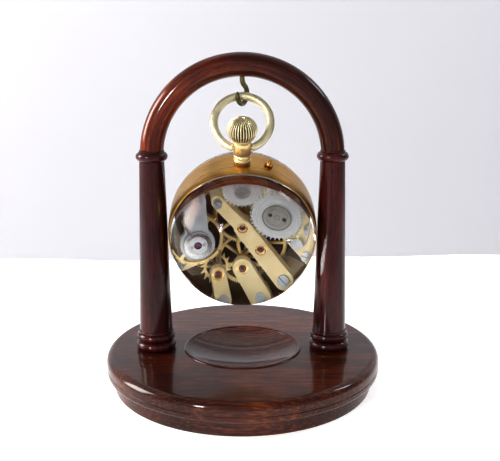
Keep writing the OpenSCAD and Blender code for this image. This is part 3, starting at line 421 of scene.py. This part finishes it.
goldColor = (0.54, 0.325, 0.095)
mats = {
    "woodBase": mahogany("mahoganyBase", "base"),
    "woodColumn": mahogany("mahoganyColumn", "column"),
    "woodArch": mahogany("mahoganyArch", "arch"),
    # The case's gold, with painted shade in the bore behind the glass
    "gold": turnedMetal("spunGold", goldColor, 0.30, works["centre"], 1500, 0.03, (0.80, 0.70, 0.58), drum=True),
    "cream": metal("creamGold", (0.90, 0.74, 0.43), 0.36, scratches=0.06, tint=(0.78, 0.57, 0.27), metallic=0.8),
    "pale": metal("paleBrass", (0.82, 0.76, 0.54), 0.40, scratches=0.04, tint=(0.66, 0.60, 0.38), cloudScale=300,
                  metallic=0.75),
    # The crown's brass, with painted shade in its flute valleys
    "fluted": metal("flutedBrass", (0.72, 0.63, 0.41), 0.42, 0.05, scratches=0, tint=(0.78, 0.71, 0.48),
                    cloudScale=90, valleyShade=(0.035, 0.024, 0.008)),
    "aged": metal("agedBrass", (0.20, 0.175, 0.09), 0.42, 0.12, frost=0.6, tint=(0.03, 0.025, 0.012),
                  cloudScale=900),
    "gilt": metal("frostedGilt", (1.0, 0.84, 0.53), 0.48, 0.05, frost=0.22, scratches=0, tint=(0.95, 0.75, 0.40),
                  metallic=0.34),
    "chaton": metal("polishedChaton", (0.90, 0.66, 0.30), 0.14, 0.03, scratches=0.1, tint=(0.74, 0.50, 0.2)),
    # painted shade: the gilt main plate is painted dark brown for the shade in the gaps between the bars
    "plate": metal("giltPlateShaded", (0.075, 0.038, 0.014), 0.36, frost=0.2, scratches=0, tint=(0.04, 0.02, 0.008)),
    "wheel": metal("wheelBrass", (0.92, 0.74, 0.38), 0.34, 0.05, tint=(0.76, 0.56, 0.24), metallic=0.8),
    "steel": metal("polishedSteel", (0.66, 0.67, 0.68), 0.22, 0.05),
    "cock": metal("greySteel", (0.66, 0.69, 0.72), 0.44, tint=(0.48, 0.51, 0.55), metallic=0.5),
    "core": turnedMetal("turnedCore", (0.70, 0.70, 0.68), 0.33, works["barrel"], 3200, 0.05, (0.72, 0.72, 0.72),
                        metallic=0.6),
    # painted shade: the casing ring is painted near black for the shade in the gap between the movement and the case
    "ring": metal("shadedCasingRing", (0.04, 0.024, 0.011), 0.45, frost=0.25, scratches=0, tint=(0.02, 0.011, 0.005)),
    "screw": metal("screwSteel", (0.62, 0.63, 0.65), 0.33, 0.05, metallic=0.65),
    "blued": metal("bluedSteel", (0.035, 0.06, 0.28), 0.20, 0.04, tint=(0.02, 0.03, 0.16)),
    "ratchet": turnedMetal("turnedRatchet", (0.88, 0.89, 0.90), 0.42, works["barrel"], 2600, 0.03, metallic=0.5),
    "crownWheel": turnedMetal("turnedCrownWheel", (0.88, 0.89, 0.88), 0.42, works["crownWheel"], 2600, 0.03,
                              metallic=0.5),
    "cap": turnedMetal("turnedCap", (0.96, 0.96, 0.97), 0.36, works["balance"], 2000, 0.02, metallic=0.4),
    "glass": clearGlass("clearGlass"),
    "ruby": gem("rubyRed"),
    "enamel": enamelPaint("dialEnamel", (0.86, 0.85, 0.80)),
    "black": enamelPaint("dialBlack", (0.012, 0.012, 0.014), 0.2, 0.3),
}
print("materials made:", len(mats))

# Finish of each part that keeps the frame's own shape
cadLooks = {
    "gold": ["case_band", "front_bezel", "back_bezel", "pin_guard"],
    "cream": ["pendant"],
    "gilt": ["barrel_bridge", "train_bar", "fourth_cock", "escape_cock", "pallet_cock"],
    "plate": ["main_plate"],
    "ring": ["casing_ring"],
    "cock": ["balance_cock"],
    "steel": ["winding_stem", "winding_pinion", "barrel_arbor", "click", "centre_pinion", "third_pinion",
              "fourth_pinion", "escape_pinion", "pallet_fork", "balance_staff", "cannon_pinion", "regulator"],
    "cap": ["endstone_cap"],
    "ratchet": ["ratchet_wheel"],
    "core": ["ratchet_cap"],
    "crownWheel": ["crown_wheel"],
    "screw": ["case_screws", "bridge_screws", "click_spring", "mainspring"],
    "blued": ["hairspring", "hour_hand", "minute_hand", "seconds_hand"],
    "wheel": ["barrel", "barrel_cover", "centre_wheel", "third_wheel", "fourth_wheel", "escape_wheel",
              "balance_wheel", "minute_wheel", "hour_wheel"],
    "ruby": ["jewels"],
    "enamel": ["dial"],
}

# Width in mm of the eased edges of the frame's metal parts, so that they catch the light
eased = {
    0.16: ["train_bar", "barrel_bridge", "fourth_cock", "escape_cock", "balance_cock"],
    0.13: ["case_band", "front_bezel", "back_bezel", "main_plate", "casing_ring", "dial"],
    0.09: ["ratchet_cap", "endstone_cap", "regulator", "pallet_cock", "click", "bridge_screws", "case_screws"],
    0.04: ["ratchet_wheel", "crown_wheel", "minute_hand", "hour_hand", "pallet_fork", "seconds_hand"],
}
bodyOf = {n: body for body, members in frame["record"]["behaviour"]["bodies"].items() for n in members}
easeOf = {n: width for width, names in eased.items() for n in names}


# Merged copy of a frame part with smooth shading, eased edges and a finish, standing in for that part
def dress(node, material):
    words = node.split("_")
    mesh = nodes[node].data.copy()
    mesh.name = name = words[0] + "".join(w.capitalize() for w in words[1:])
    mesh.materials.clear()
    work = bmesh.new()
    work.from_mesh(mesh)
    bmesh.ops.remove_doubles(work, verts=work.verts, dist=3e-6)
    if node in easeOf:
        bmesh.ops.dissolve_limit(work, angle_limit=rad(0.6), verts=work.verts, edges=work.edges)
    work.to_mesh(mesh)
    work.free()
    smooth(mesh, 32)
    obj = linked(name, mesh, material)
    if node in easeOf:
        ease = obj.modifiers.new("ease", "BEVEL")
        ease.width, ease.segments, ease.limit_method = easeOf[node] / 1000, 2, "ANGLE"
        ease.angle_limit = rad(40)
        even = obj.modifiers.new("even", "WEIGHTED_NORMAL")
        even.keep_sharp = False
    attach(obj, bodyOf[node])
    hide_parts(node)


for look, names in cadLooks.items():
    for n in names:
        dress(n, mats[look])
print("frame parts dressed:", sum(len(names) for names in cadLooks.values()))

# Stand, in mm: the columns and the arch stand on the base's top
base = {
    "radius": 56.8, "top": 14.6, "rimRound": 3.2, "lowRound": 1.2, "scoreZ": 9.3, "scoreRadius": 0.2,
    "plinthRadius": 53.8, "plinthTop": 5.5, "plinthRound": 0.3, "footRound": 1.0, "neckRadius": 52.8, "neckTop": 7.2,
    "lowFrom": 54.57, "dishRadius": 24.8, "dishDepth": 4.2, "lipRound": 1.0, "lipDrop": 0.5, "lipWidth": 2.0,
}
column = {
    "x": 36.2, "footRing": 3.7, "ringRadius": 8.25, "ringStep": 0.35, "lowRadius": 6.8,
    "highRadius": 5.05, "fillet": 0.8, "filletOut": 0.45, "filletRound": 0.25, "collarZ": 95.6, "collarHeight": 3.8,
    "collarRadius": 6.4, "seatOut": 0.35, "seatRound": 0.15, "seatRise": 0.6, "grainShift": (61.0, 37.0, 0.0),
}
arch = {"radius": 4.75}


# Grain coordinates: the row frame's axes reordered, with a slow wave (a sine of the first) across the run
def grainOf(points, along, across, third, wave):
    g = np.stack([points[..., along], points[..., across], points[..., third]], -1)
    g[..., 1] += wave * np.sin(g[..., 0] / 17.0)
    return g


# Base: plinth, neck and disc turned in one, with a scored edge and a dish that is part of a sphere
dishR = base["dishRadius"] - base["lipWidth"]
bowlR = (dishR ** 2 + base["dishDepth"] ** 2) / (2 * base["dishDepth"])
bowlAngle = math.degrees(math.asin(dishR / bowlR))
lipR, lipZ = base["dishRadius"] - base["lipRound"], base["top"] - base["lipDrop"]
rimR, rimZ = base["radius"] - base["rimRound"], base["top"] - base["rimRound"]
lowZ = base["neckTop"] + base["lowRound"] / 2
flatRun = np.linspace(rimR, lipR + base["lipRound"], 40)[1:]
baseProfile = joined(
    [[0.001, 0], [20, 0], [40, 0]],
    arc(base["plinthRadius"] - base["footRound"], base["footRound"], base["footRound"], -90, 0, 10),
    [[base["plinthRadius"], 3], [base["plinthRadius"], base["plinthTop"]]],
    arc(base["plinthRadius"] - base["plinthRound"], base["plinthTop"], base["plinthRound"], 0, 90, 5),
    [[base["neckRadius"], base["plinthTop"] + base["plinthRound"]], [base["neckRadius"], base["neckTop"]],
     [base["lowFrom"], base["neckTop"]]],
    arc(base["radius"] - base["lowRound"], lowZ, base["lowRound"], -150, 0, 14),
    [[base["radius"], base["scoreZ"] - base["scoreRadius"]]],
    arc(base["radius"], base["scoreZ"], base["scoreRadius"], 270, 90, 9),
    [[base["radius"], rimZ]],
    arc(rimR, rimZ, base["rimRound"], 0, 90, 26),
    np.stack([flatRun, np.full(len(flatRun), base["top"])], -1),
    arc(lipR, lipZ, base["lipRound"], 30, 150, 16),
    arc(0, base["top"] + bowlR - base["dishDepth"], bowlR, -90 + bowlAngle - 0.05, -89.999, 44),
)
baseGrid = revolve(baseProfile, 256)
makePiece("standBase", baseGrid, "stand", mats["woodBase"], grain=grainOf(baseGrid, 0, 1, 2, 0.8))
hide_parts("base")

# Columns: two foot rings, a fillet, a shaft that tapers upwards, a collar and the arch's seat
ringR, collarR = column["footRing"] / 2, column["collarHeight"] / 2
foot, lowR = base["top"], column["lowRadius"]
collarLow, collarHigh = column["collarZ"] - collarR, column["collarZ"] + collarR
shaftLow = foot + 2 * column["footRing"] + column["fillet"]
filletR, filletZ = lowR + column["filletOut"], shaftLow - column["filletRound"]
seatR, archSeat = arch["radius"] + column["seatOut"], collarHigh + column["seatRise"]
shaftZ = np.linspace(shaftLow, collarLow, 30)
shaftR = np.interp(shaftZ, [shaftLow, collarLow], [lowR, column["highRadius"]])
columnProfile = joined(
    [[0.001, foot]],
    arc(column["ringRadius"] - ringR, foot + ringR, ringR, -90, 90, 22),
    arc(column["ringRadius"] - ringR - column["ringStep"], foot + 3 * ringR, ringR, -78, 90, 20),
    [[filletR, foot + 4 * ringR], [filletR, filletZ]],
    arc(filletR - column["filletRound"], filletZ, column["filletRound"], 0, 90, 5),
    np.stack([shaftR, shaftZ], -1),
    arc(column["collarRadius"] - collarR, column["collarZ"], collarR, -86, 90, 24),
    [[seatR, collarHigh], [seatR, archSeat - column["seatRound"]], [seatR - column["seatRound"], archSeat],
     [0.001, archSeat]],
)
for side, word, node in ((-1, "columnLeft", "column_left"), (1, "columnRight", "column_right")):
    grid = revolve(columnProfile, 96)
    grain = grainOf(grid, 2, 0, 1, 0.5) + side * np.array(column["grainShift"])
    grid[..., 0] += side * column["x"]
    makePiece(word, grid, "stand", mats["woodColumn"], grain=grain)
    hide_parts(node)

# Arch: a round bar bent to half a circle about the columns' tops
startAngle = math.degrees(math.asin((archSeat - column["collarZ"]) / column["x"]))
archAngle = np.radians(np.linspace(startAngle, 180 - startAngle, 150))[:, None]
tubeAngle = np.linspace(0, 2 * math.pi, 64, endpoint=False)[None, :]
outwards, sideways = arch["radius"] * np.cos(tubeAngle), arch["radius"] * np.sin(tubeAngle)
fromCentre = column["x"] + outwards
archGrid = np.stack([fromCentre * np.cos(archAngle), sideways + 0 * archAngle,
                     column["collarZ"] + fromCentre * np.sin(archAngle)], -1)
archGrid[..., 2] = np.maximum(archGrid[..., 2], archSeat)
archGrain = np.stack([archAngle * column["x"] + 0 * tubeAngle, outwards + 0 * archAngle, sideways + 0 * archAngle], -1)
makePiece("standArch", archGrid, "stand", mats["woodArch"], grain=archGrain)
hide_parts("arch")

# Screw hook: straight shank, bend back, round bend with a blunt tip
hook = {"eyeZ": 120.15, "bend": 3.7, "wire": 0.99, "yaw": 60, "tip": 20, "neck": 60, "shankTop": 11.4}
neckX, neckZ = (2 * hook["bend"] * f(rad(hook["neck"])) for f in (math.cos, math.sin))
roundBend = arc(0, 0, hook["bend"], -180 - hook["tip"], hook["neck"], 90)
backBend = arc(neckX, neckZ, hook["bend"], 180 + hook["neck"], 180, 30)
shank = np.stack([np.full(24, neckX - hook["bend"]), np.linspace(neckZ, hook["shankTop"], 24)], -1)
flat = joined(roundBend, backBend[1:], shank[1:])
turn = rad(hook["yaw"])
hookPath = np.stack([flat[:, 0] * math.cos(turn), flat[:, 0] * math.sin(turn), hook["eyeZ"] + flat[:, 1]], -1)
tipRun = np.minimum(1, np.linspace(0, 8, len(hookPath)) ** 0.5 + 0.15)
makePiece("screwHook", sweep(hookPath, hook["wire"] * tipRun, 28), "stand", mats["aged"])
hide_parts("hook")

# Bow: a round ring, slightly thinner towards its ends, with pivots into the pendant
bow = {"radius": 11.05, "wire": 1.65, "thinning": 0.10, "endX": 3.7, "chord": 21.462132, "pivotRadius": 0.98,
       "pivotFrom": 4.0, "pivotTo": 2.0}
gap = math.asin(bow["endX"] / bow["radius"])
a = np.linspace(-math.pi / 2 + gap, 3 * math.pi / 2 - gap, 200)
bowPath = bow["radius"] * np.stack([np.cos(a), np.zeros(200), np.sin(a) - 1], -1)
thin = 1 - bow["thinning"] * np.abs(np.linspace(-1, 1, 200)) ** 3
bowGrids = [toBow(sweep(bowPath, bow["wire"] * thin, 40))]
for side in (-1, 1):
    x = side * np.linspace(bow["pivotFrom"], bow["pivotTo"], 6)
    pivotPath = np.stack([x, np.zeros(6), np.full(6, -bow["chord"])], -1)
    bowGrids.append(toBow(sweep(pivotPath, bow["pivotRadius"], 40)))
makePiece("bowRing", bowGrids, "bow", mats["pale"])
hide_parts("bow")

# Crown: an onion round with flutes that run out at both ends, a neck below and a dimple on top
crown = {
    "low": 38.8, "height": 9.9, "radius": 5.85, "flutes": 32, "depth": 0.672, "sharpness": 1.1,
    "fadeFrom": 0.08, "fadeOver": 0.22,
    "neck": [(3.51, 1.0), (3.51, 0.25), (3.3, 0.0), (0.001, 0.0)],
    "dimple": [(0.96, 9.88), (0.90, 9.74), (0.62, 9.42), (0.3, 9.20), (0.001, 9.15)],
}
polar = np.radians(np.linspace(-90, 90, 90))[:, None]
a = np.linspace(0, 2 * math.pi, crown["flutes"] * 16, endpoint=False)[None, :]
roundR = crown["height"] / 2
weight = np.clip((np.cos(polar) - crown["fadeFrom"]) / crown["fadeOver"], 0, 1)
weight = weight * weight * (3 - 2 * weight)
cut = weight * (1 - np.abs(np.sin(a * crown["flutes"] / 2)) ** crown["sharpness"])
radius = crown["radius"] - roundR + roundR * np.cos(polar) - crown["depth"] * cut
grid = np.stack([radius * np.cos(a), radius * np.sin(a), roundR + roundR * np.sin(polar) + 0 * a], -1)
# How deep each point lies in a flute, carried to the finish to paint shade in the valleys
fluteShadeMask = np.stack([cut, 0 * cut, 0 * cut], -1)
crownGrids = [grid] + [revolve(joined(crown[k]), 96) for k in ("neck", "dimple")]
crownFluteShade = [fluteShadeMask] + [np.zeros(g.shape) for g in crownGrids[1:]]
makePiece("crownKnob", [toCase(g + np.array([0, 0, crown["low"]])) for g in crownGrids], "crown", mats["fluted"],
          grain=crownFluteShade, crease=60)
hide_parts("crown")

# Setting pin: a thin rod with an eased foot and a round head, leaning to the right of the crown
settingPin = {"radius": 0.65, "low": 20.9, "shoulder": 32.0, "edge": 0.2, "angle": 20.0}
pinR, pinEdge = settingPin["radius"], settingPin["edge"]
pinProfile = joined(
    [[0.0, settingPin["low"]]],
    arc(pinR - pinEdge, settingPin["low"] + pinEdge, pinEdge, -90, 0, 7),
    arc(0, settingPin["shoulder"], pinR, 0, 90, 13),
)
grid = revolve(pinProfile, 48)
c, s = math.cos(rad(settingPin["angle"])), math.sin(rad(settingPin["angle"]))
grid = np.stack([grid[..., 0] * c + grid[..., 2] * s, grid[..., 1], grid[..., 2] * c - grid[..., 0] * s], -1)
makePiece("settingPin", toCase(grid), "push_pin", mats["gold"], crease=60)
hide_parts("push_pin")


# One dome: a sphere down to the bezel, a step to the seat, then the flat; turned from (radius, forward)
def domeGrid(flatAt, sign):
    top = math.degrees(math.acos(dome["edge"] / dome["radius"]))
    inner = dome["bandBore"] - dome["boreGap"]
    profile = joined(
        arc(0, dome["offset"], dome["radius"], 90 - 0.002, top, 150),
        [[dome["edge"], dome["seat"]], [inner, dome["seat"]], [inner, flatAt], [inner * 0.5, flatAt], [0.001, flatAt]],
    )
    grid = revolve(profile, 240)
    grid[..., 2] *= sign
    return toBall(grid)


makePiece("frontGlass", domeGrid(dome["frontFlat"], 1), "case", mats["glass"], crease=30)
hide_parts("front_lens")
makePiece("backGlass", domeGrid(dome["backFlat"], -1), "case", mats["glass"], crease=30)
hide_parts("back_lens")
print("stand, bow, crown, setting pin and glass made")

# Small turned parts of the movement: profiles of (radius, height over the face that they lie on)
turnedParts = {
    "chaton": [(0.90, -0.30), (0.92, 0.02), (0.97, 0.09), (1.06, 0.10), (1.13, 0.03), (1.17, 0.02), (1.22, 0.10),
               (1.38, 0.12), (1.46, 0.08), (1.49, -0.02)],
    "capRing": [(0.74, -0.05), (0.78, 0.05), (0.90, 0.07), (1.04, 0.05), (1.08, -0.02)],
    "capStone": [(0.76, -0.03), (0.72, 0.03), (0.5, 0.08), (0.25, 0.10), (0.001, 0.105)],
    "coreScrew": [(0.60, -0.12), (0.58, -0.01), (0.50, 0.015), (0.2, 0.02), (0.001, 0.02)],
    "screwAt": (2.0, -0.8), "grooveShadeRings": ((4.20, 0.10), (2.95, 0.05), (0.72, 0.07)), "grooveEase": 0.02,
}


# Grid of a profile turned about an axis of the movement's plan at the given place and height
def ringOn(profile, at, height, count=72):
    return toWorks(revolve(np.array(profile, float), count) + np.array([*at, height]))


makePiece("chatons", [ringOn(turnedParts["chaton"], works[k], works["barTop"]) for k in
                      ("centre", "third", "fourth", "escape")], "case", mats["chaton"], crease=50)
makePiece("endstoneRing", ringOn(turnedParts["capRing"], works["balance"], works["capTop"]), "case", mats["blued"],
          crease=50)
makePiece("endstone", ringOn(turnedParts["capStone"], works["balance"], works["capTop"]), "case", mats["ruby"],
          crease=50)
screwPlaces = [np.array(works["barrel"]) + side * np.array(turnedParts["screwAt"]) for side in (-1, 1)]
makePiece("coreScrews", [ringOn(turnedParts["coreScrew"], at, works["coreTop"], 40) for at in screwPlaces],
          bodyOf["ratchet_cap"], mats["aged"], crease=50)
# painted shade: dark rings laid on the ratchet's core where its fine turned grooves would hold shade
grooveShadeRings = []
for r, half in turnedParts["grooveShadeRings"]:
    flatHalf = half - turnedParts["grooveEase"]
    profile = [(r - half, -0.03), (r - flatHalf, 0.005), (r + flatHalf, 0.005), (r + half, -0.03)]
    grooveShadeRings.append(ringOn(profile, works["barrel"], works["coreTop"], 120))
makePiece("coreGrooveShade", grooveShadeRings, bodyOf["ratchet_cap"], mats["aged"], crease=50)
print("small rings and screws of the movement made")

# Dial: hour numbers, minute track and small seconds track; a letter is its width and its strokes,
# each from (x, y) to (x, y) with a width
dial = {
    "numbersAt": 16.9, "secondsAt": -11.78, "lift": 0.02, "secondsLift": -0.06,
    "hours": {1: "I", 2: "II", 3: "III", 4: "IIII", 5: "V", 7: "VII", 8: "VIII", 9: "IX", 10: "X", 11: "XI", 12: "XII"},
    "tracks": ((19.72, 19.88), (20.88, 21.04)), "secondsTrack": (4.68, 4.8),
    "minuteTick": (19.9, 20.9, 0.2), "hourTick": (19.6, 20.9, 0.42),
    "secondTick": (4.25, 4.7, 0.12), "fifthSecondTick": (4.0, 4.7, 0.2),
}
letters = {
    "I": (0.75, [((0.375, -1.7), (0.375, 1.7), 0.46), ((0.06, -1.7), (0.69, -1.7), 0.14),
                 ((0.06, 1.7), (0.69, 1.7), 0.14)]),
    "V": (1.75, [((0.3, 1.7), (0.875, -1.7), 0.42), ((1.45, 1.7), (0.875, -1.7), 0.18),
                 ((0.0, 1.7), (0.6, 1.7), 0.14), ((1.2, 1.7), (1.75, 1.7), 0.14)]),
    "X": (1.75, [((0.3, 1.7), (1.45, -1.7), 0.42), ((1.45, 1.7), (0.3, -1.7), 0.18),
                 ((0.0, -1.7), (0.6, -1.7), 0.14), ((1.15, -1.7), (1.75, -1.7), 0.14),
                 ((0.0, 1.7), (0.6, 1.7), 0.14), ((1.15, 1.7), (1.75, 1.7), 0.14)]),
}


# One bar on the dial: a quad about the line, lifted off the face; x is mirrored, as the dial faces away
def bar(start, end, width, lift):
    ends = np.array([start, end], float)
    d = ends[1] - ends[0]
    n = np.array([-d[1], d[0]]) / np.linalg.norm(d) * width / 2
    quad = np.stack([ends - n, ends + n], 1)
    height = np.full((2, 2, 1), works["dialFace"] - lift)
    return toWorks(np.concatenate([-quad[..., :1], quad[..., 1:], height], -1))


# Radial tick at a number of minutes, about (0, centreY)
def tick(minute, size, centreY, lift):
    inner, outer, width = size
    t = rad(6 * minute)
    start, end = [(r * math.sin(t), centreY + r * math.cos(t)) for r in (inner, outer)]
    return bar(start, end, width, lift)


# Ring between two radii of the dial
def track(radii, height, count, centreY=0.0):
    grid = revolve(np.array([[r, height] for r in radii]), count)
    return toWorks(grid + np.array([0, centreY, 0]))


hourBars = []
for hour, word in dial["hours"].items():
    x = -sum(letters[c][0] for c in word) / 2
    c, s = math.cos(-rad(30 * hour)), math.sin(-rad(30 * hour))
    for letter in word:
        width, strokes = letters[letter]
        for start, end, w in strokes:
            placed = [(x + px, py + dial["numbersAt"]) for px, py in (start, end)]
            hourBars.append(bar(*[(px * c - py * s, px * s + py * c) for px, py in placed], w, dial["lift"]))
        x += width
secondBars = []
for m in range(60):
    hourBars.append(tick(m, dial["minuteTick" if m % 5 else "hourTick"], 0.0, dial["lift"]))
    if m % 2 == 0 or m % 5 == 0:
        size = dial["secondTick" if m % 5 else "fifthSecondTick"]
        secondBars.append(tick(m, size, dial["secondsAt"], dial["secondsLift"]))
makePiece("dialNumbers", hourBars, "case", mats["black"], closeV=False)
makePiece("dialSeconds", secondBars, "case", mats["black"], closeV=False)
makePiece("dialTrack", [track(radii, works["dialFace"] - dial["lift"], 240) for radii in dial["tracks"]], "case",
          mats["black"])
makePiece("secondsTrack", track(dial["secondsTrack"], works["dialFace"] - dial["secondsLift"], 120,
                                works["fourth"][1]), "case", mats["black"])
print("dial marks made:", len(hourBars) + len(secondBars))


# Surface from a grid in mm with one value per point, for the floor, the wall and the lights
def valuedSheet(name, grid, layerName, values, material):
    mesh = bpy.data.meshes.new(name)
    faces = gridFaces(grid.shape[0], grid.shape[1], False)
    mesh.from_pydata((grid.reshape(-1, 3) / 1000).tolist(), [], faces.tolist())
    layer = mesh.attributes.new(layerName, "FLOAT", "POINT")
    layer.data.foreach_set("value", values.astype(np.float32).ravel())
    return linked(name, mesh, material)


# Plain surface with a little light of its own; past the reach it dims by 0.68 a^2 (3 - 2 a), a from 0 to 1
def stagePlane(name, grid, away, color, glow):
    s = Shader(name + "Paint", color, 0.0, 0.9)
    s.set("Specular IOR Level", 0.1)
    s.set("Emission Color", (*color, 1))
    near = s.node("ShaderNodeAttribute", attribute_name="near").outputs["Fac"]
    s.plug(s.math("MULTIPLY", near, glow), "Emission Strength")
    plain = s.ramp(s.noise(s.coords(), 6, 3, 0.5), [(0.3, tuple(v * 0.985 for v in color)), (0.7, color)])
    s.plug(s.mix(near, (0.25, 0.25, 0.26), plain), "Base Color")
    away = np.clip(away, 0, 1)
    obj = valuedSheet(name, grid, "near", 1 - 0.68 * away * away * (3 - 2 * away), s.material)
    obj.data.polygons.foreach_set("use_smooth", np.ones(len(obj.data.polygons), bool))


# The cloth ends a hand's breadth behind the stand and rolls off in slow waves; a pale wall stands behind it
floor = {"color": (0.92, 0.915, 0.91), "glow": 0.34, "edge": 186.0, "roll": 14.0, "front": -520, "half": 900}
wall = {"color": (0.60, 0.60, 0.635), "glow": 0.06, "y": 640.0, "half": 460, "low": -500, "high": 420}
edge, roll = floor["edge"], floor["roll"]
drop = arc(0, -roll, roll, 90, 0, 12)
# Profile of the cloth as (y, z), from in front of the stand over the edge and down
run = np.concatenate([
    np.stack([np.r_[np.linspace(floor["front"], -300, 8), np.linspace(-280, edge, 60)], np.zeros(68)], -1),
    np.stack([edge + drop[:, 0], drop[:, 1]], -1)[1:], [[edge + roll, -400.0]],
])
runY, runZ = run[:, 0][:, None], run[:, 1][:, None]
x = np.linspace(-floor["half"], floor["half"], 121)[None, :]
wave = 3.0 * np.sin(x / 61.0) + 2.2 * np.sin(x / 23.0 + 1.1)
grid = np.stack([x + 0 * runY, runY + wave * np.clip((runY + 60) / edge, 0, 1.2) ** 2, runZ + 0 * x], -1)
away = np.maximum((-grid[..., 1] - 90) / 130, (np.abs(grid[..., 0]) - 210) / 350)
stagePlane("paleFloor", grid, away, floor["color"], floor["glow"])
wallX, wallZ = np.meshgrid(np.linspace(-wall["half"], wall["half"], 33), np.linspace(wall["low"], wall["high"], 60),
                           indexing="ij")
away = (wallZ - 212 - 0.45 * np.abs(wallX)) / 90
stagePlane("paleWall", np.stack([wallX, np.full_like(wallX, wall["y"]), wallZ], -1), away, wall["color"], wall["glow"])

# How the picture is developed
picture = {"view_transform": "Standard", "exposure": 1.0, "gamma": 0.8}
for key, value in picture.items():
    setattr(bpy.context.scene.view_settings, key, value)

# Soft room: grey by height plus a share of depth, darker ahead of the eye than above and below
room = {
    "levels": [(0.0, 0.38), (0.24, 0.32), (0.42, 0.13), (0.62, 0.13), (1.0, 0.6)],
    "heightShare": 0.45, "blue": 1.02,
}
world = bpy.data.worlds.new("softRoom")
bpy.context.scene.world = world
world.use_nodes = True
roomNodes, roomLinks = world.node_tree.nodes, world.node_tree.links
sky = roomNodes["Background"]
direction = roomNodes.new("ShaderNodeTexCoord")
split = roomNodes.new("ShaderNodeSeparateXYZ")
level = roomNodes.new("ShaderNodeMath")
level.operation = "MULTIPLY_ADD"
level.inputs[1].default_value = room["heightShare"]
shift = roomNodes.new("ShaderNodeMapRange")
shift.inputs["From Min"].default_value = -1.0
ramp = roomNodes.new("ShaderNodeValToRGB")
while len(ramp.color_ramp.elements) < len(room["levels"]):
    ramp.color_ramp.elements.new(0.5)
for element, (at, grey) in zip(ramp.color_ramp.elements, room["levels"]):
    element.position = at
    element.color = (grey, grey, grey * room["blue"], 1)
for a, b in ((direction.outputs["Generated"], split.inputs[0]), (split.outputs["Z"], level.inputs[0]),
             (split.outputs["Y"], level.inputs[2]), (level.outputs["Value"], shift.inputs["Value"]),
             (shift.outputs["Result"], ramp.inputs["Fac"]), (ramp.outputs["Color"], sky.inputs["Color"])):
    roomLinks.new(a, b)

# Each light: place, aim, width, height (mm), strength and colour
lights = {
    "windowLeft": ((-1050, 100, 420), (0, 0, 70), 550, 700, 10.0, (1.0, 0.975, 0.95)),
    "windowRight": ((880, 240, 760), (0, 0, 60), 160, 340, 9.0, (0.86, 0.93, 1.0)),
    "skyAbove": ((0, 1250, 1350), (0, 0, 0), 1800, 700, 0.6, (0.98, 0.985, 1.0)),
    "lampFront": ((-700, -1030, 450), (0, 0, 70), 170, 300, 46.0, (1.0, 0.97, 0.93)),
}


# Glowing panel that looks at the aim: brightness (1 - u^4)(1 - v^4) fades it to nothing at its edges
def softBox(name, at, aim, width, height, strength, color):
    u, v = np.meshgrid(np.linspace(-1, 1, 25), np.linspace(-1, 1, 25), indexing="ij")
    ahead = np.array(aim, float) - np.array(at, float)
    ahead /= np.linalg.norm(ahead)
    side = np.cross(ahead, (0.0, 0.0, 1.0))
    side /= np.linalg.norm(side)
    up = np.cross(side, ahead)
    grid = np.array(at) + u[..., None] * side * width / 2 + v[..., None] * up * height / 2
    s = Shader(name + "Glow", (0, 0, 0), 0.0, 1.0)
    s.set("Specular IOR Level", 0.0)
    s.set("Emission Color", (*color, 1))
    fall = s.node("ShaderNodeAttribute", attribute_name="glow").outputs["Fac"]
    s.plug(s.math("MULTIPLY", fall, strength), "Emission Strength")
    obj = valuedSheet(name, grid, "glow", (1 - u ** 4) * (1 - v ** 4), s.material)
    obj.visible_camera = False


for name, values in lights.items():
    softBox(name, *values)

# Camera fitted to the photograph: place in mm, pitch and yaw in degrees, focal length in pixels
camera = {"at": (-0.43, -354.6, 154.26), "pitch": -14.14, "yaw": 0.566, "focal": 896.2, "pixels": 500, "sensor": 36.0}
data = bpy.data.cameras.new("photoCamera")
data.sensor_width = camera["sensor"]
data.lens = camera["focal"] / camera["pixels"] * camera["sensor"]
data.clip_start, data.clip_end = 0.01, 20
cam = bpy.data.objects.new("photoCamera", data)
bpy.context.scene.collection.objects.link(cam)
cam.location = tuple(v / 1000 for v in camera["at"])
cam.rotation_euler = (rad(90 + camera["pitch"]), 0, -rad(camera["yaw"]))
bpy.context.scene.camera = cam
print("stage, lights and camera made")
